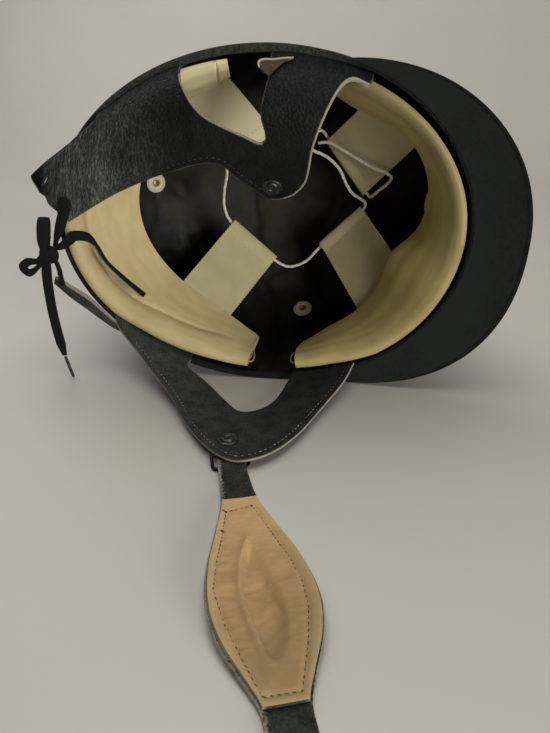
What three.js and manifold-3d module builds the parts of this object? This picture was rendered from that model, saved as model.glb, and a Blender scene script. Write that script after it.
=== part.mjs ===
// An old riding helmet lying on its left side, with its opening towards -Y and its peak towards +X.
// Millimetres. The helmet's own frame has x to the front, y to the wearer's left and z to the crown,
// and one turned group lays it down, so that the crown points along +Y and the left side rests on Z = 0.
import * as THREE from 'three';
import { mergeVertices } from 'three/addons/utils/BufferGeometryUtils.js';
import Module from 'manifold-3d';

const wasm = await Module();
wasm.setup();

// Shell
const HALF_LENGTH = 121.5;
const HALF_WIDTH = 96.5;
const FRONT_WIDENING = 0.03;
const WALL = 2.0;
const CROWN_HEIGHT = 134;
const STRAIGHT_HEIGHT = 58;
const CROWN_POWER = 2.3;
const SHELL_SEGMENTS = 46;
const SHELL_TURN = THREE.MathUtils.degToRad(-1.717);
const CROWN_ROWS = 7;
// Height of the rim's middle over the surface: the shell's lowest facet lies level just above it
const RIM_HEIGHT = 96.4;

// Peak: its outline is half a superellipse on each side, pressed wider on the side it lies on
const PEAK_BACK = 52;
const PEAK_REACH = 97.5;
const PEAK_SIDES = {
  right: { halfWidth: 89.6, power: 2.06, rootX: 47 },
  left: { halfWidth: 96.0, power: 2.3, rootX: 24 },
};
const PEAK_ROOT_Z = 1.9;
const PEAK_SIDE_Z = 2.2;
const PEAK_TIP_Z = -9;
const PEAK_ROOT_THICKNESS = 3.0;
const PEAK_EDGE_THICKNESS = 2.2;
const PEAK_COLUMNS = 20;
const PEAK_ROWS = 4;

// Vent eyelets: angle round the crown, height above the rim
const EYELETS = [
  { name: 'eyelet_rear', angle: 184.6, height: 110 },
  { name: 'eyelet_left', angle: 79.8, height: 96.3 },
  { name: 'eyelet_right', angle: -79.8, height: 96.3 },
];
const EYELET = {
  bore: 2.6, barrel: 4.2, hole: 4.7, flange: 6.6, flangeThickness: 1.0, clearInside: 1.2, clearOutside: 0.8, sides: 12,
};

// Leather thicknesses and the clearance that neighbours keep
const GAP = 0.3;
const HARNESS_THICKNESS = 1.8;
const ROOT_DEPTH = 14;
const ROOT_INSET = WALL + GAP + HARNESS_THICKNESS / 2;
const HARNESS_INSET = 2.8;

// Headband: two lengths with a gap at each side. For each angle round the head, how far the rim edge
// stands in from the shell's outside, how far the crown edge is from the middle, and how many degrees
// the crown edge ends short of the rim edge
const BAND_RIM_Z = 0.4;
const BAND_CROWN_Z = 40;
const BAND_REAR = [
  { angle: 95, inset: 7.4, radius: 86 },
  { angle: 110, inset: 7.2, radius: 76 },
  { angle: 139, inset: 5.6, radius: 75 },
  { angle: 149, inset: 3.0, radius: 77 },
  { angle: 158, inset: 2.6, radius: 79.5 },
  { angle: 180, inset: 2.8, radius: 83 },
  { angle: 204, inset: 3.6, radius: 80.5 },
  { angle: 222, inset: 4.4, radius: 80.5 },
  { angle: 238, inset: 5.2, radius: 82.5 },
  { angle: 245, inset: 5.6, radius: 82 },
  { angle: 260, inset: 6.2, radius: 84.5, slant: 11 },
];
const BAND_FRONT = [
  { angle: -76, inset: 6.0, radius: 84 },
  { angle: -51, inset: 5.6, radius: 83 },
  { angle: -26, inset: 5.0, radius: 99 },
  { angle: -9, inset: 4.2, radius: 101 },
  { angle: 4, inset: 4.0, radius: 95 },
  { angle: 14, inset: 3.7, radius: 84 },
  { angle: 32, inset: 3.0, radius: 86 },
  { angle: 46, inset: 2.8, radius: 87 },
  { angle: 62, inset: 6.4, radius: 87 },
  { angle: 77, inset: 7.2, radius: 91 },
];
const BAND_STATIONS = 20;
// Section of the band: along is a share of its width from the rim edge, lift is millimetres off its back
const BAND_SECTION = [
  { along: 0.02, lift: 0 },
  { along: 0.5, lift: 0 },
  { along: 1.0, lift: 0 },
  { along: 1.0, lift: 1.9 },
  { along: 0.7, lift: 2.1 },
  { along: 0.5, lift: 2.3 },
  { along: 0.42, lift: 4.6 },
  { along: 0.24, lift: 6.2 },
  { along: 0.08, lift: 5.0 },
  { along: 0.0, lift: 2.2 },
];
const BAND_TUNNEL = [
  { along: 0.07, lift: 1.6 },
  { along: 0.38, lift: 1.6 },
  { along: 0.38, lift: 3.0 },
  { along: 0.24, lift: 4.5 },
  { along: 0.11, lift: 3.6 },
];
const TUNNEL_OVERRUN = 2;

// Crown cradle: four tapes, each from behind the band's crown edge to a looped end on the drawstring
const CRADLE_Z = 86;
const TAPE_THICKNESS = 1.4;
const TAPE_BEHIND = -(0.9 + TAPE_THICKNESS / 2);
const TAPE_BASE_SHARE = 0.72;
const TAPE_ROWS = 6;
const TAPE_COLUMNS = 3;
const LOOP_OUTER = 2.8;
const LOOP_INNER = 1.9;
const LOOP_SIDES = 9;
const LOOP_OVERHANG = 0.5;
const TAPES = [
  { name: 'tape_rear_left', band: BAND_REAR, base: [141, 111], end: [[-31.6, 16.9], [-1.4, 42.8]] },
  { name: 'tape_front_left', band: BAND_FRONT, base: [46, 16], end: [[32.5, 31.4], [59.8, 5.0]] },
  { name: 'tape_front_right', band: BAND_FRONT, base: [-26, -49], end: [[61.6, -6.6], [35.1, -40.8]] },
  { name: 'tape_rear_right', band: BAND_REAR, base: [253, 226], end: [[-6.5, -51.0], [-33.0, -28.2]] },
];
const CORD_RADIUS = 1.1;
const CORD_SIDES = 8;
const DRAWSTRING_STEPS = 62;
// Drawstring: from its knot round through the loops and back, then through the last loop into an open bow
const DRAWSTRING_ROUTE = [
  [19.5, -42.5, 86.0],
  [9.0, -48.6, 86.0],
  [-3.2, -53.2, 86.0],
  [-7.3, -50.3, 86.0],
  [-32.2, -28.9, 86.0],
  [-34.8, -24.0, 86.0],
  [-34.6, -17.0, 86.0],
  [-36.8, -6.0, 86.0],
  [-37.2, 6.0, 86.0],
  [-33.6, 15.2, 86.0],
  [-16.5, 29.9, 86.0],
  [0.6, 44.5, 86.0],
  [9.0, 47.8, 86.0],
  [21.0, 43.6, 86.0],
  [31.0, 32.9, 86.0],
  [57.0, 7.7, 86.0],
  [61.2, 3.6, 86.0],
  [61.4, 0.4, 85.8],
  [52.2, -6.2, 84.2],
  [47.7, -12.9, 82.8],
  [43.3, -21.5, 82.0],
  [37.1, -27.9, 82.0],
  [30.9, -31.5, 82.4],
  [25.5, -33.6, 82.2],
  [21.6, -37.0, 80.6],
  [24.0, -42.5, 82.4],
  [29.8, -46.2, 85.6],
  [34.2, -42.0, 86.0],
  [48.4, -23.7, 86.0],
  [62.6, -5.3, 86.0],
  [64.6, -4.0, 84.4],
  [69.3, -9.2, 77.0],
  [75.2, -15.8, 70.0],
  [76.8, -20.3, 64.6],
  [72.6, -24.0, 60.0],
  [66.2, -25.6, 63.4],
  [50.4, -32.6, 71.6],
  [35.0, -39.4, 79.2],
  [28.6, -38.6, 82.6],
];

// Right harness piece: hangs across the opening, bulges out and curls back at its tip
const HANG_BULGE = 24;
const HANG_LENGTH = 74;
const HANG_SHAPE = 0.75;
const HANG_START = 1.4;
const HANG_REAR_SHARE = 0.35;
const HANG_REAR_X = -115;
const HANG_FULL_X = -30;
const RIGHT_COLUMNS = { from: -136, to: 64, count: 20 };
const RIGHT_DROPS = [-32, -16, 0, 2, 5, 10, 17, 25, 34, 43, 52, 61, 70, 79, 88];
const RIGHT_ROOT_REACH = -6;
const RIGHT_EDGES = {
  napeTop: [[-133, -27.4], [-121.8, -36.3], [-105, -46.9], [-92, -56]],
  rearRoot: { from: -88, to: -40 },
  earRear: [[-38.5, -83], [-35.2, -76.4], [-23.9, -63.4], [-2.7, -53.3], [4.2, -49.9]],
  earFront: [[7.4, -51.1], [5.2, -65.1], [8.7, -80.9]],
  frontRoot: { from: 8, to: 60 },
  front: [[58, -78.2], [49, -80.5], [40.9, -70.2], [32.5, -50.1], [28.1, -30.7], [15.5, -18.7]],
  lower: [[3.9, -19.4], [-8.8, -29.8], [-21.2, -39.4], [-46.9, -33.8], [-77.7, -21.6], [-108.8, -4.2]],
  napeEnd: [[-118.7, -11.2], [-121.6, -12.8], [-123.8, -17.1], [-127.4, -18.1]],
};
const NAPE_HOLE = { x: -123.2, y: -25.8, radius: 1.4 };
const ROOT_EDGE_INSET = 1;

// Left harness piece: comes over the rim's lower edge and lies forward on the surface (ahead = -Y)
const LEFT_TIP_HEIGHT = 5.9;
const LEFT_FALL = 80;
const LEFT_START = 0.35;
const LEFT_COLUMNS = { from: -96, to: 66, count: 16 };
const LEFT_LINES = { from: LEFT_START, to: 106, count: 10 };
const LEFT_ROOT_REACH = -2.5;
const LEFT_EDGES = {
  rear: [[-92, LEFT_START], [-88, 8], [-75.6, 16.4], [-62.3, 27.6], [-45.7, 45.8], [-31.1, 70.2], [-18, 88.2]],
  tip: [[-5.3, 99.5], [5, 102], [18.2, 93.7]],
  front: [[30.1, 75.3], [42.6, 43.9], [53.9, 18.6], [59, LEFT_START]],
  ear: [[20, LEFT_START], [18.7, 11], [9, 46.5], [-0.2, 53.9], [-8, 50.8], [-29.4, 24.2], [-44.6, 11.2],
    [-44.7, LEFT_START]],
};
const LEFT_ROOTS = [{ from: -91, to: -45.5 }, { from: 20.5, to: 58 }];
// Left nape arm: rows from its root to its end, upper and lower edge of a strip that leans outwards
const LEFT_NAPE = [
  { upper: [-84, 64.5, -4.5], lower: [-84.5, 67, -6] },
  { upper: [-91.5, 59.2, -3.4], lower: [-91.5, 63, -7.2] },
  { upper: [-98.5, 50.8, -3.6], lower: [-99.4, 57, -8.8] },
  { upper: [-106.4, 42, -4], lower: [-107.4, 51.4, -9.4] },
  { upper: [-115.6, 36.2, -4.6], lower: [-115.8, 45.8, -9.6] },
  { upper: [-125.2, 30.8, -6], lower: [-125.6, 35, -8.8] },
];
const LEFT_NAPE_THICKNESS = 2.0;

// Snaps and rivet
const SNAP = { radius: 5.2, ring: 3.4, well: 1.5, height: 1.3, sides: 12 };
const SNAP_RIGHT = { x: 8.9, y: -26.3 };
const SNAP_LEFT = { x: -5, ahead: 84.9 };

// Chin strap: rows along its axis, from under the left tip, through the cup, to the free end
const STRAP_TOP = { x: 8.7, y: -128.5 };
const STRAP_DIRECTION = { x: 0.309, y: -0.951 };
const STRAP_THICKNESS = 2.0;
const STRAP_COLUMNS = 6;
const STRAP_ROWS = [
  { along: -41, half: 6.5, height: 1.3, dish: 0 },
  { along: -36, half: 6.6, height: 1.6, dish: 0 },
  { along: -29, half: 6.8, height: 3.4, dish: 0 },
  { along: -20, half: 7.2, height: 2.1, dish: 0 },
  { along: -10, half: 7.8, height: 1.2, dish: 0 },
  { along: 0, half: 8.8, height: 1.0, dish: 0.3 },
  { along: 21, half: 13.7, height: 1.0, dish: 2.0 },
  { along: 44, half: 19.4, height: 1.0, dish: 4.0 },
  { along: 60, half: 21.4, height: 1.0, dish: 4.8 },
  { along: 72, half: 20.8, height: 1.0, dish: 4.6 },
  { along: 83, half: 18.0, height: 1.0, dish: 3.6 },
  { along: 94, half: 13.0, height: 1.0, dish: 1.6 },
  { along: 105, half: 8.6, height: 1.0, dish: 0.3 },
  { along: 114, half: 8.2, height: 1.0, dish: 0 },
  { along: 140, half: 8.0, height: 1.0, dish: 0 },
  { along: 148, half: 6.6, height: 1.0, dish: 0 },
  { along: 151, half: 4.0, height: 1.0, dish: 0 },
];
const CUP_THICKNESS = 1.8;
const CUP_MARGIN = 0.9;
const CUP_FROM = 0;
const CUP_TO = 105;
const CUP_LIFT = STRAP_THICKNESS / 2 + CUP_THICKNESS / 2 + 0.5;

// Keeper: wire ring round the strap, its front bar under the strap and its rear bar over it
const KEEPER = { along: -33, halfWidth: 9.2, halfLength: 4.4, wire: 0.9, frontZ: 1.1, rearZ: 3.75, corner: 2.2 };

// Lace: flat strands tied at the nape, bunched in the knot. Each row gives a place, the way the flat
// side faces and the width there; rows with an angle lie on the rear headband
const LACE_WIDTH = 6.4;
const LACE_BUNCHED = 3.0;
const LOOP_WIDTH = 5.0;
const LACE_THICKNESS = 1.2;
const OUT = [0, 0, -1];
const LACE_UPPER = [
  { at: [-108.8, -16.6, -12.5], face: OUT, width: LACE_WIDTH },
  { at: [-110.4, -10.5, -13.4], face: OUT, width: LACE_WIDTH },
  { at: [-114.2, -1.5, -12.9], face: OUT, width: LACE_WIDTH },
  { at: [-118.4, 7, -12.0], face: OUT, width: LACE_BUNCHED },
  { at: [-119.8, 11.4, -10.6], face: OUT, width: LACE_BUNCHED },
  { at: [-116.8, 12.6, -8.6], face: OUT, width: LACE_BUNCHED },
  { at: [-112.6, 9.8, -5.4], face: [0.5, 0, -0.86], width: LACE_WIDTH },
  { angle: 176.5, along: 0.07, lift: 6.3, width: LACE_WIDTH },
  { angle: 175.4, along: 0.2, lift: 7.3, width: LACE_WIDTH },
  { angle: 172.2, along: 0.28, lift: 7.3, width: LACE_BUNCHED },
  { angle: 165.7, along: 0.32, lift: 7.2, width: LACE_BUNCHED },
  { angle: 157.9, along: 0.39, lift: 6.9, width: LACE_BUNCHED },
  { angle: 147.9, along: 0.42, lift: 6.8, width: LACE_BUNCHED },
];
const LACE_LOWER = [
  { at: [-119.8, 35.6, -8.9], face: [0.21, -0.54, -0.81], width: LACE_BUNCHED },
  { at: [-119.4, 30.4, -10.8], face: [0.6, -0.3, -0.7], width: LACE_BUNCHED },
  { at: [-119.2, 23.6, -12.4], face: OUT, width: LACE_BUNCHED },
  { at: [-120.6, 18.6, -13.3], face: OUT, width: LACE_BUNCHED },
  { at: [-124.0, 18.0, -13.6], face: OUT, width: LACE_BUNCHED },
  { at: [-126.2, 23.5, -13.6], face: OUT, width: LACE_WIDTH },
  { at: [-127.3, 36, -13.2], face: OUT, width: LACE_WIDTH },
  { at: [-127.6, 50, -12.4], face: OUT, width: LACE_WIDTH },
  { at: [-127.0, 64, -11.6], face: OUT, width: LACE_WIDTH },
  { at: [-126.0, 74, -11.2], face: OUT, width: LACE_WIDTH },
  { at: [-124.4, 81.6, -11.8], face: OUT, width: LACE_BUNCHED },
];
const LACE_BOW = [
  { at: [-122.6, 12, -16.2], face: [0, 0, 1], width: LACE_BUNCHED },
  { at: [-122.7, 4, -15.6], face: [0, 0, 1], width: LACE_WIDTH },
  { at: [-121.5, -5, -15.6], face: [0, 0, 1], width: LACE_WIDTH },
  { at: [-121.2, -7.4, -17.3], face: [0, -1, 0], width: LACE_WIDTH },
  { at: [-121.6, -5, -19.0], face: OUT, width: LACE_WIDTH },
  { at: [-123.2, 5, -19.4], face: OUT, width: LACE_WIDTH },
  { at: [-124.2, 13, -19.2], face: OUT, width: LACE_BUNCHED },
  { at: [-128.6, 17.6, -18.8], face: OUT, width: LACE_BUNCHED },
  { at: [-134.6, 18.6, -18.6], face: OUT, width: LOOP_WIDTH },
  { at: [-138.4, 22.0, -18.4], face: OUT, width: LOOP_WIDTH },
  { at: [-135.6, 25.4, -17.8], face: OUT, width: LOOP_WIDTH },
  { at: [-131.2, 23.2, -16.8], face: OUT, width: LACE_BUNCHED },
  { at: [-126.6, 18.2, -16.4], face: OUT, width: LACE_BUNCHED },
];
const LACE_STEPS = { upper: 28, lower: 20, bow: 26 };
const KNOT = { x: -121.8, y: 14.2, z: -16.5, half: [6.6, 6.4, 2.7] };
const LACE_TIP = { from: [-124.05, 82.16, -12.15], to: [-117.0, 93.2, -19.2], radius: 1.0 };

// Finish of each material
function finish(color, roughness, metalness = 0) {
  return new THREE.MeshStandardMaterial({ color, roughness, metalness });
}

// Closed body from rows of loops that all have the same number of points
function loopNormal(loop) {
  const normal = new THREE.Vector3();
  loop.forEach((point, i) => {
    const next = loop[(i + 1) % loop.length];
    normal.x += (point.y - next.y) * (point.z + next.z);
    normal.y += (point.z - next.z) * (point.x + next.x);
    normal.z += (point.x - next.x) * (point.y + next.y);
  });
  return normal.normalize();
}

function capTriangles(loop) {
  const normal = loopNormal(loop);
  const across = new THREE.Vector3().subVectors(loop[1], loop[0]).normalize();
  across.addScaledVector(normal, -across.dot(normal)).normalize();
  const up = new THREE.Vector3().crossVectors(normal, across);
  const flat = loop.map((point) => new THREE.Vector2(point.dot(across), point.dot(up)));
  return THREE.ShapeUtils.triangulateShape(flat, []);
}

function closedSkin(rows) {
  const count = rows[0].length;
  const positions = [];
  const index = [];
  rows.forEach((loop) => loop.forEach((point) => positions.push(point.x, point.y, point.z)));
  for (let r = 0; r + 1 < rows.length; r += 1) {
    for (let c = 0; c < count; c += 1) {
      const a = r * count + c;
      const b = r * count + ((c + 1) % count);
      index.push(a, b, a + count, b, b + count, a + count);
    }
  }
  const last = (rows.length - 1) * count;
  capTriangles(rows[0]).forEach(([a, b, c]) => index.push(a, c, b));
  capTriangles(rows[rows.length - 1]).forEach(([a, b, c]) => index.push(last + a, last + b, last + c));
  const geometry = new THREE.BufferGeometry();
  geometry.setAttribute('position', new THREE.Float32BufferAttribute(positions, 3));
  geometry.setIndex(index);
  return facingOut(geometry);
}

function signedVolume(geometry) {
  const position = geometry.attributes.position;
  const index = geometry.index.array;
  const [a, b, c] = [new THREE.Vector3(), new THREE.Vector3(), new THREE.Vector3()];
  let volume = 0;
  for (let i = 0; i < index.length; i += 3) {
    a.fromBufferAttribute(position, index[i]);
    b.fromBufferAttribute(position, index[i + 1]);
    c.fromBufferAttribute(position, index[i + 2]);
    volume += a.dot(b.cross(c)) / 6;
  }
  return volume;
}

function facingOut(geometry) {
  if (signedVolume(geometry) < 0) {
    const index = geometry.index.array;
    for (let i = 0; i < index.length; i += 3) {
      [index[i + 1], index[i + 2]] = [index[i + 2], index[i + 1]];
    }
  }
  geometry.computeVertexNormals();
  return geometry;
}

// Joins and cuts
function solidOf(geometry) {
  const bare = geometry.clone();
  bare.deleteAttribute('normal');
  bare.deleteAttribute('uv');
  const merged = mergeVertices(bare, 1e-4);
  return new wasm.Manifold(new wasm.Mesh({
    numProp: 3,
    vertProperties: new Float32Array(merged.attributes.position.array),
    triVerts: new Uint32Array(merged.index.array),
  }));
}

function geometryOf(solid) {
  const mesh = solid.getMesh();
  const geometry = new THREE.BufferGeometry();
  geometry.setAttribute('position', new THREE.Float32BufferAttribute(mesh.vertProperties, 3));
  geometry.setIndex(Array.from(mesh.triVerts));
  geometry.computeVertexNormals();
  return geometry;
}

// Sheet of even thickness about a grid of points: its two faces, then a wall round its edge
function sheet(grid, thickness) {
  const lines = grid.length;
  const columns = grid[0].length;
  const positions = [];
  [0.5, -0.5].forEach((side) => grid.forEach((row, r) => row.forEach((point, c) => {
    const down = new THREE.Vector3().subVectors(
      grid[Math.min(r + 1, lines - 1)][c], grid[Math.max(r - 1, 0)][c]);
    const across = new THREE.Vector3().subVectors(
      row[Math.min(c + 1, columns - 1)], row[Math.max(c - 1, 0)]);
    const normal = down.cross(across).normalize();
    const corner = point.clone().addScaledVector(normal, side * thickness);
    positions.push(corner.x, corner.y, corner.z);
  })));
  const at = (r, c) => r * columns + c;
  const back = lines * columns;
  const edge = [
    ...Array.from({ length: columns - 1 }, (_, c) => at(0, c)),
    ...Array.from({ length: lines - 1 }, (_, r) => at(r, columns - 1)),
    ...Array.from({ length: columns - 1 }, (_, c) => at(lines - 1, columns - 1 - c)),
    ...Array.from({ length: lines - 1 }, (_, r) => at(lines - 1 - r, 0)),
  ];
  const index = [];
  for (let r = 0; r + 1 < lines; r += 1) {
    for (let c = 0; c + 1 < columns; c += 1) {
      const [p, q, s, t] = [at(r, c), at(r, c + 1), at(r + 1, c), at(r + 1, c + 1)];
      index.push(p, s, q, q, s, t);
      index.push(back + p, back + q, back + s, back + q, back + t, back + s);
    }
  }
  edge.forEach((a, i) => {
    const b = edge[(i + 1) % edge.length];
    index.push(a, b, back + a, b, back + b, back + a);
  });
  const geometry = new THREE.BufferGeometry();
  geometry.setAttribute('position', new THREE.Float32BufferAttribute(positions, 3));
  geometry.setIndex(index);
  return facingOut(geometry);
}

function spread({ from, to, count }) {
  return Array.from({ length: count + 1 }, (_, i) => THREE.MathUtils.lerp(from, to, i / count));
}

function prism(points, depth) {
  const shape = new THREE.Shape(points.map(([x, y]) => new THREE.Vector2(x, y)));
  return new THREE.ExtrudeGeometry(shape, { depth, bevelEnabled: false });
}

// Smooth run of points through a few given ones
function smooth(points, steps) {
  const curve = new THREE.SplineCurve(points.map(([x, y]) => new THREE.Vector2(x, y)));
  return curve.getPoints(steps).map((point) => [point.x, point.y]);
}

function smoothStep(from, to, value) {
  return THREE.MathUtils.smoothstep(value, from, to);
}

// Value of a column between two rows of a table with an angle
function tableValue(table, angle, column) {
  const last = table.length - 1;
  const next = Math.max(1, table.findIndex((row) => angle <= row.angle));
  const [low, high] = angle > table[last].angle ? [table[last], table[last]] : [table[next - 1], table[next]];
  const share = low === high ? 0 : (angle - low.angle) / (high.angle - low.angle);
  return THREE.MathUtils.lerp(low[column] ?? 0, high[column] ?? 0, THREE.MathUtils.clamp(share, 0, 1));
}

// Rim oval and crown
function ovalPoint(turn, inset, scale = 1) {
  const x = (HALF_LENGTH - inset) * scale * Math.cos(turn);
  const y = (HALF_WIDTH - inset) * scale * Math.sin(turn) * (1 + FRONT_WIDENING * Math.cos(turn));
  return [x, y];
}

function ovalAtAngle(degrees, inset) {
  const turn = THREE.MathUtils.degToRad(degrees);
  const [c, s] = [Math.cos(turn), Math.sin(turn)];
  const length = HALF_LENGTH - inset;
  let radius = length;
  for (let i = 0; i < 4; i += 1) {
    const width = (HALF_WIDTH - inset) * (1 + (FRONT_WIDENING * radius * c) / length);
    radius = 1 / Math.hypot(c / length, s / width);
  }
  return [radius * c, radius * s];
}

function wallY(x, inset = HARNESS_INSET) {
  const share = THREE.MathUtils.clamp(x / (HALF_LENGTH - inset), -0.945, 0.945);
  return (HALF_WIDTH - inset) * Math.sqrt(1 - share * share) * (1 + FRONT_WIDENING * share);
}

function crownScale(z, inset) {
  const share = THREE.MathUtils.clamp((z - STRAIGHT_HEIGHT) / (CROWN_HEIGHT - inset - STRAIGHT_HEIGHT), 0, 1);
  return (1 - share ** CROWN_POWER) ** (1 / CROWN_POWER);
}

function crownRing(z, inset) {
  const scale = crownScale(z, inset);
  const ring = [];
  for (let i = 0; i < SHELL_SEGMENTS; i += 1) {
    const [x, y] = ovalPoint((2 * Math.PI * i) / SHELL_SEGMENTS + SHELL_TURN, inset, scale);
    ring.push(new THREE.Vector3(x, y, z));
  }
  return ring;
}

// Heights of the crown's rings, close together where it turns over at the top
function crownHeights(inset) {
  const heights = [0, STRAIGHT_HEIGHT / 2];
  for (let i = 0; i < CROWN_ROWS; i += 1) {
    const share = Math.sin((Math.PI / 2) * (i / CROWN_ROWS));
    heights.push(STRAIGHT_HEIGHT + (CROWN_HEIGHT - inset - STRAIGHT_HEIGHT) * share);
  }
  heights.push(CROWN_HEIGHT - inset - 0.25);
  return heights;
}

function crownSolid() {
  const outer = crownHeights(0).reverse().map((z) => crownRing(z, 0));
  const inner = crownHeights(WALL).map((z) => crownRing(z, WALL));
  return solidOf(closedSkin([...outer, ...inner]));
}

function peakEdge(turn) {
  const side = turn < 0 ? PEAK_SIDES.right : PEAK_SIDES.left;
  const reach = Math.abs(Math.cos(turn)) ** (2 / side.power);
  const x = PEAK_BACK + PEAK_REACH * reach;
  const y = Math.sign(turn) * side.halfWidth * Math.abs(Math.sin(turn)) ** (2 / side.power);
  return { x, y, z: PEAK_SIDE_Z + (PEAK_TIP_Z - PEAK_SIDE_Z) * reach };
}

function peakGeometry() {
  const rootTurn = (side) => Math.acos(side.rootX / HALF_LENGTH);
  const [first, last] = [-rootTurn(PEAK_SIDES.right), rootTurn(PEAK_SIDES.left)];
  const rows = [];
  for (let c = 0; c <= PEAK_COLUMNS; c += 1) {
    const share = c / PEAK_COLUMNS;
    const [rx, ry] = ovalPoint(THREE.MathUtils.lerp(first, last, share), -GAP);
    const edge = peakEdge(THREE.MathUtils.lerp(-Math.PI / 2, Math.PI / 2, share));
    const under = [];
    const over = [];
    for (let r = 0; r <= PEAK_ROWS; r += 1) {
      const out = r / PEAK_ROWS;
      const x = THREE.MathUtils.lerp(rx, edge.x, out);
      const y = THREE.MathUtils.lerp(ry, edge.y, out);
      const z = THREE.MathUtils.lerp(PEAK_ROOT_Z, edge.z, out ** 1.2);
      const half = THREE.MathUtils.lerp(PEAK_ROOT_THICKNESS, PEAK_EDGE_THICKNESS, out) / 2;
      under.push(new THREE.Vector3(x, y, z - half));
      over.unshift(new THREE.Vector3(x, y, z + half));
    }
    rows.push([...under, ...over]);
  }
  return closedSkin(rows);
}

// Place and outward direction of an eyelet on the middle of the crown's wall
function eyeletPlace({ angle, height }) {
  const turn = THREE.MathUtils.degToRad(angle);
  const inset = WALL / 2;
  const at = (t, z) => {
    const [x, y] = ovalPoint(t, inset, crownScale(z, inset));
    return new THREE.Vector3(x, y, z);
  };
  const step = 0.01;
  const round = at(turn + step, height).sub(at(turn - step, height));
  const up = at(turn, height + 1).sub(at(turn, height - 1));
  return { place: at(turn, height), outward: round.cross(up).normalize() };
}

function along(geometry, place, direction) {
  const turn = new THREE.Quaternion().setFromUnitVectors(new THREE.Vector3(0, 1, 0), direction);
  geometry.applyQuaternion(turn);
  geometry.translate(place.x, place.y, place.z);
  return geometry;
}

function shellGeometry() {
  let shell = crownSolid();
  EYELETS.forEach((eyelet) => {
    const { place, outward } = eyeletPlace(eyelet);
    const drill = new THREE.CylinderGeometry(EYELET.hole, EYELET.hole, 6 * WALL, EYELET.sides);
    shell = shell.subtract(solidOf(along(drill, place, outward)));
  });
  return geometryOf(shell);
}

function eyeletGeometry(eyelet) {
  const { bore, barrel, flange, flangeThickness, clearInside, clearOutside, sides } = EYELET;
  const inside = -(WALL / 2 + clearInside);
  const outside = WALL / 2 + clearOutside;
  const profile = [
    [bore, inside - flangeThickness],
    [flange - 0.5, inside - flangeThickness],
    [flange, inside],
    [barrel, inside],
    [barrel, outside],
    [flange - 0.4, outside],
    [flange - 0.9, outside + flangeThickness],
    [bore, outside + flangeThickness],
    [bore, inside - flangeThickness],
  ].map(([r, h]) => new THREE.Vector2(r, h));
  const { place, outward } = eyeletPlace(eyelet);
  return along(new THREE.LatheGeometry(profile, sides), place, outward);
}

// Headband: a point at an angle, a share of the width from the rim edge and a lift off the band's back
function bandPoint(table, angle, share, lift) {
  const turn = THREE.MathUtils.degToRad(angle);
  const [rx, ry] = ovalAtAngle(angle, tableValue(table, angle, 'inset'));
  const radius = tableValue(table, angle, 'radius');
  const rim = new THREE.Vector3(rx, ry, BAND_RIM_Z);
  const crown = new THREE.Vector3(radius * Math.cos(turn), radius * Math.sin(turn), BAND_CROWN_Z);
  const rise = crown.clone().sub(rim);
  const outward = new THREE.Vector3(Math.cos(turn), Math.sin(turn), 0);
  const direction = rise.clone().normalize();
  const inward = outward.clone().addScaledVector(direction, -outward.dot(direction)).normalize().negate();
  return rim.addScaledVector(rise, share).addScaledVector(inward, lift);
}

function bandSweep(table, section, from, to) {
  const rows = [];
  for (let i = 0; i <= BAND_STATIONS; i += 1) {
    const angle = THREE.MathUtils.lerp(from, to, i / BAND_STATIONS);
    const slant = tableValue(table, angle, 'slant');
    rows.push(section.map((spot) => bandPoint(table, angle - slant * spot.along, spot.along, spot.lift)));
  }
  return solidOf(closedSkin(rows));
}

function headbandGeometry(table) {
  const from = table[0].angle;
  const to = table[table.length - 1].angle;
  const body = bandSweep(table, BAND_SECTION, from, to);
  const tunnel = bandSweep(table, BAND_TUNNEL, from - TUNNEL_OVERRUN, to + TUNNEL_OVERRUN);
  return geometryOf(body.subtract(tunnel));
}

// Cradle tape: a ribbon from behind the band to a loop that the drawstring runs through
function tapeGeometry({ band, base, end }) {
  const [endA, endB] = end.map(([x, y]) => new THREE.Vector3(x, y, CRADLE_Z));
  const endLine = new THREE.Vector3().subVectors(endB, endA);
  const baseMid = bandPoint(band, (base[0] + base[1]) / 2, 1, TAPE_BEHIND);
  const endMid = endA.clone().add(endB).multiplyScalar(0.5);
  const toBase = baseMid.clone().sub(endMid);
  toBase.addScaledVector(endLine, -toBase.dot(endLine) / endLine.lengthSq()).normalize();
  const seat = toBase.clone().multiplyScalar((LOOP_OUTER + LOOP_INNER) / 2);
  const grid = [];
  for (let r = 0; r <= TAPE_ROWS; r += 1) {
    const row = [];
    for (let c = 0; c <= TAPE_COLUMNS; c += 1) {
      const across = c / TAPE_COLUMNS;
      const angle = THREE.MathUtils.lerp(base[0], base[1], across);
      const low = bandPoint(band, angle, TAPE_BASE_SHARE, TAPE_BEHIND);
      const edge = bandPoint(band, angle, 1.03, TAPE_BEHIND);
      const top = endA.clone().addScaledVector(endLine, across).add(seat);
      row.push(r === 0 ? low : edge.lerp(top, (r - 1) / (TAPE_ROWS - 1)));
    }
    grid.push(row);
  }
  const ribbon = solidOf(sheet(grid, TAPE_THICKNESS));
  const ring = new THREE.Shape().absarc(0, 0, LOOP_OUTER, 0, 2 * Math.PI);
  ring.holes.push(new THREE.Path().absarc(0, 0, LOOP_INNER, 0, 2 * Math.PI, true));
  const loop = new THREE.ExtrudeGeometry(ring, {
    depth: endLine.length() + 2 * LOOP_OVERHANG, bevelEnabled: false, curveSegments: LOOP_SIDES,
  });
  loop.translate(0, 0, -LOOP_OVERHANG);
  const turn = new THREE.Quaternion().setFromUnitVectors(
    new THREE.Vector3(0, 0, 1), endLine.clone().normalize());
  loop.applyQuaternion(turn);
  loop.translate(endA.x, endA.y, endA.z);
  return geometryOf(ribbon.add(solidOf(loop)));
}

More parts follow.
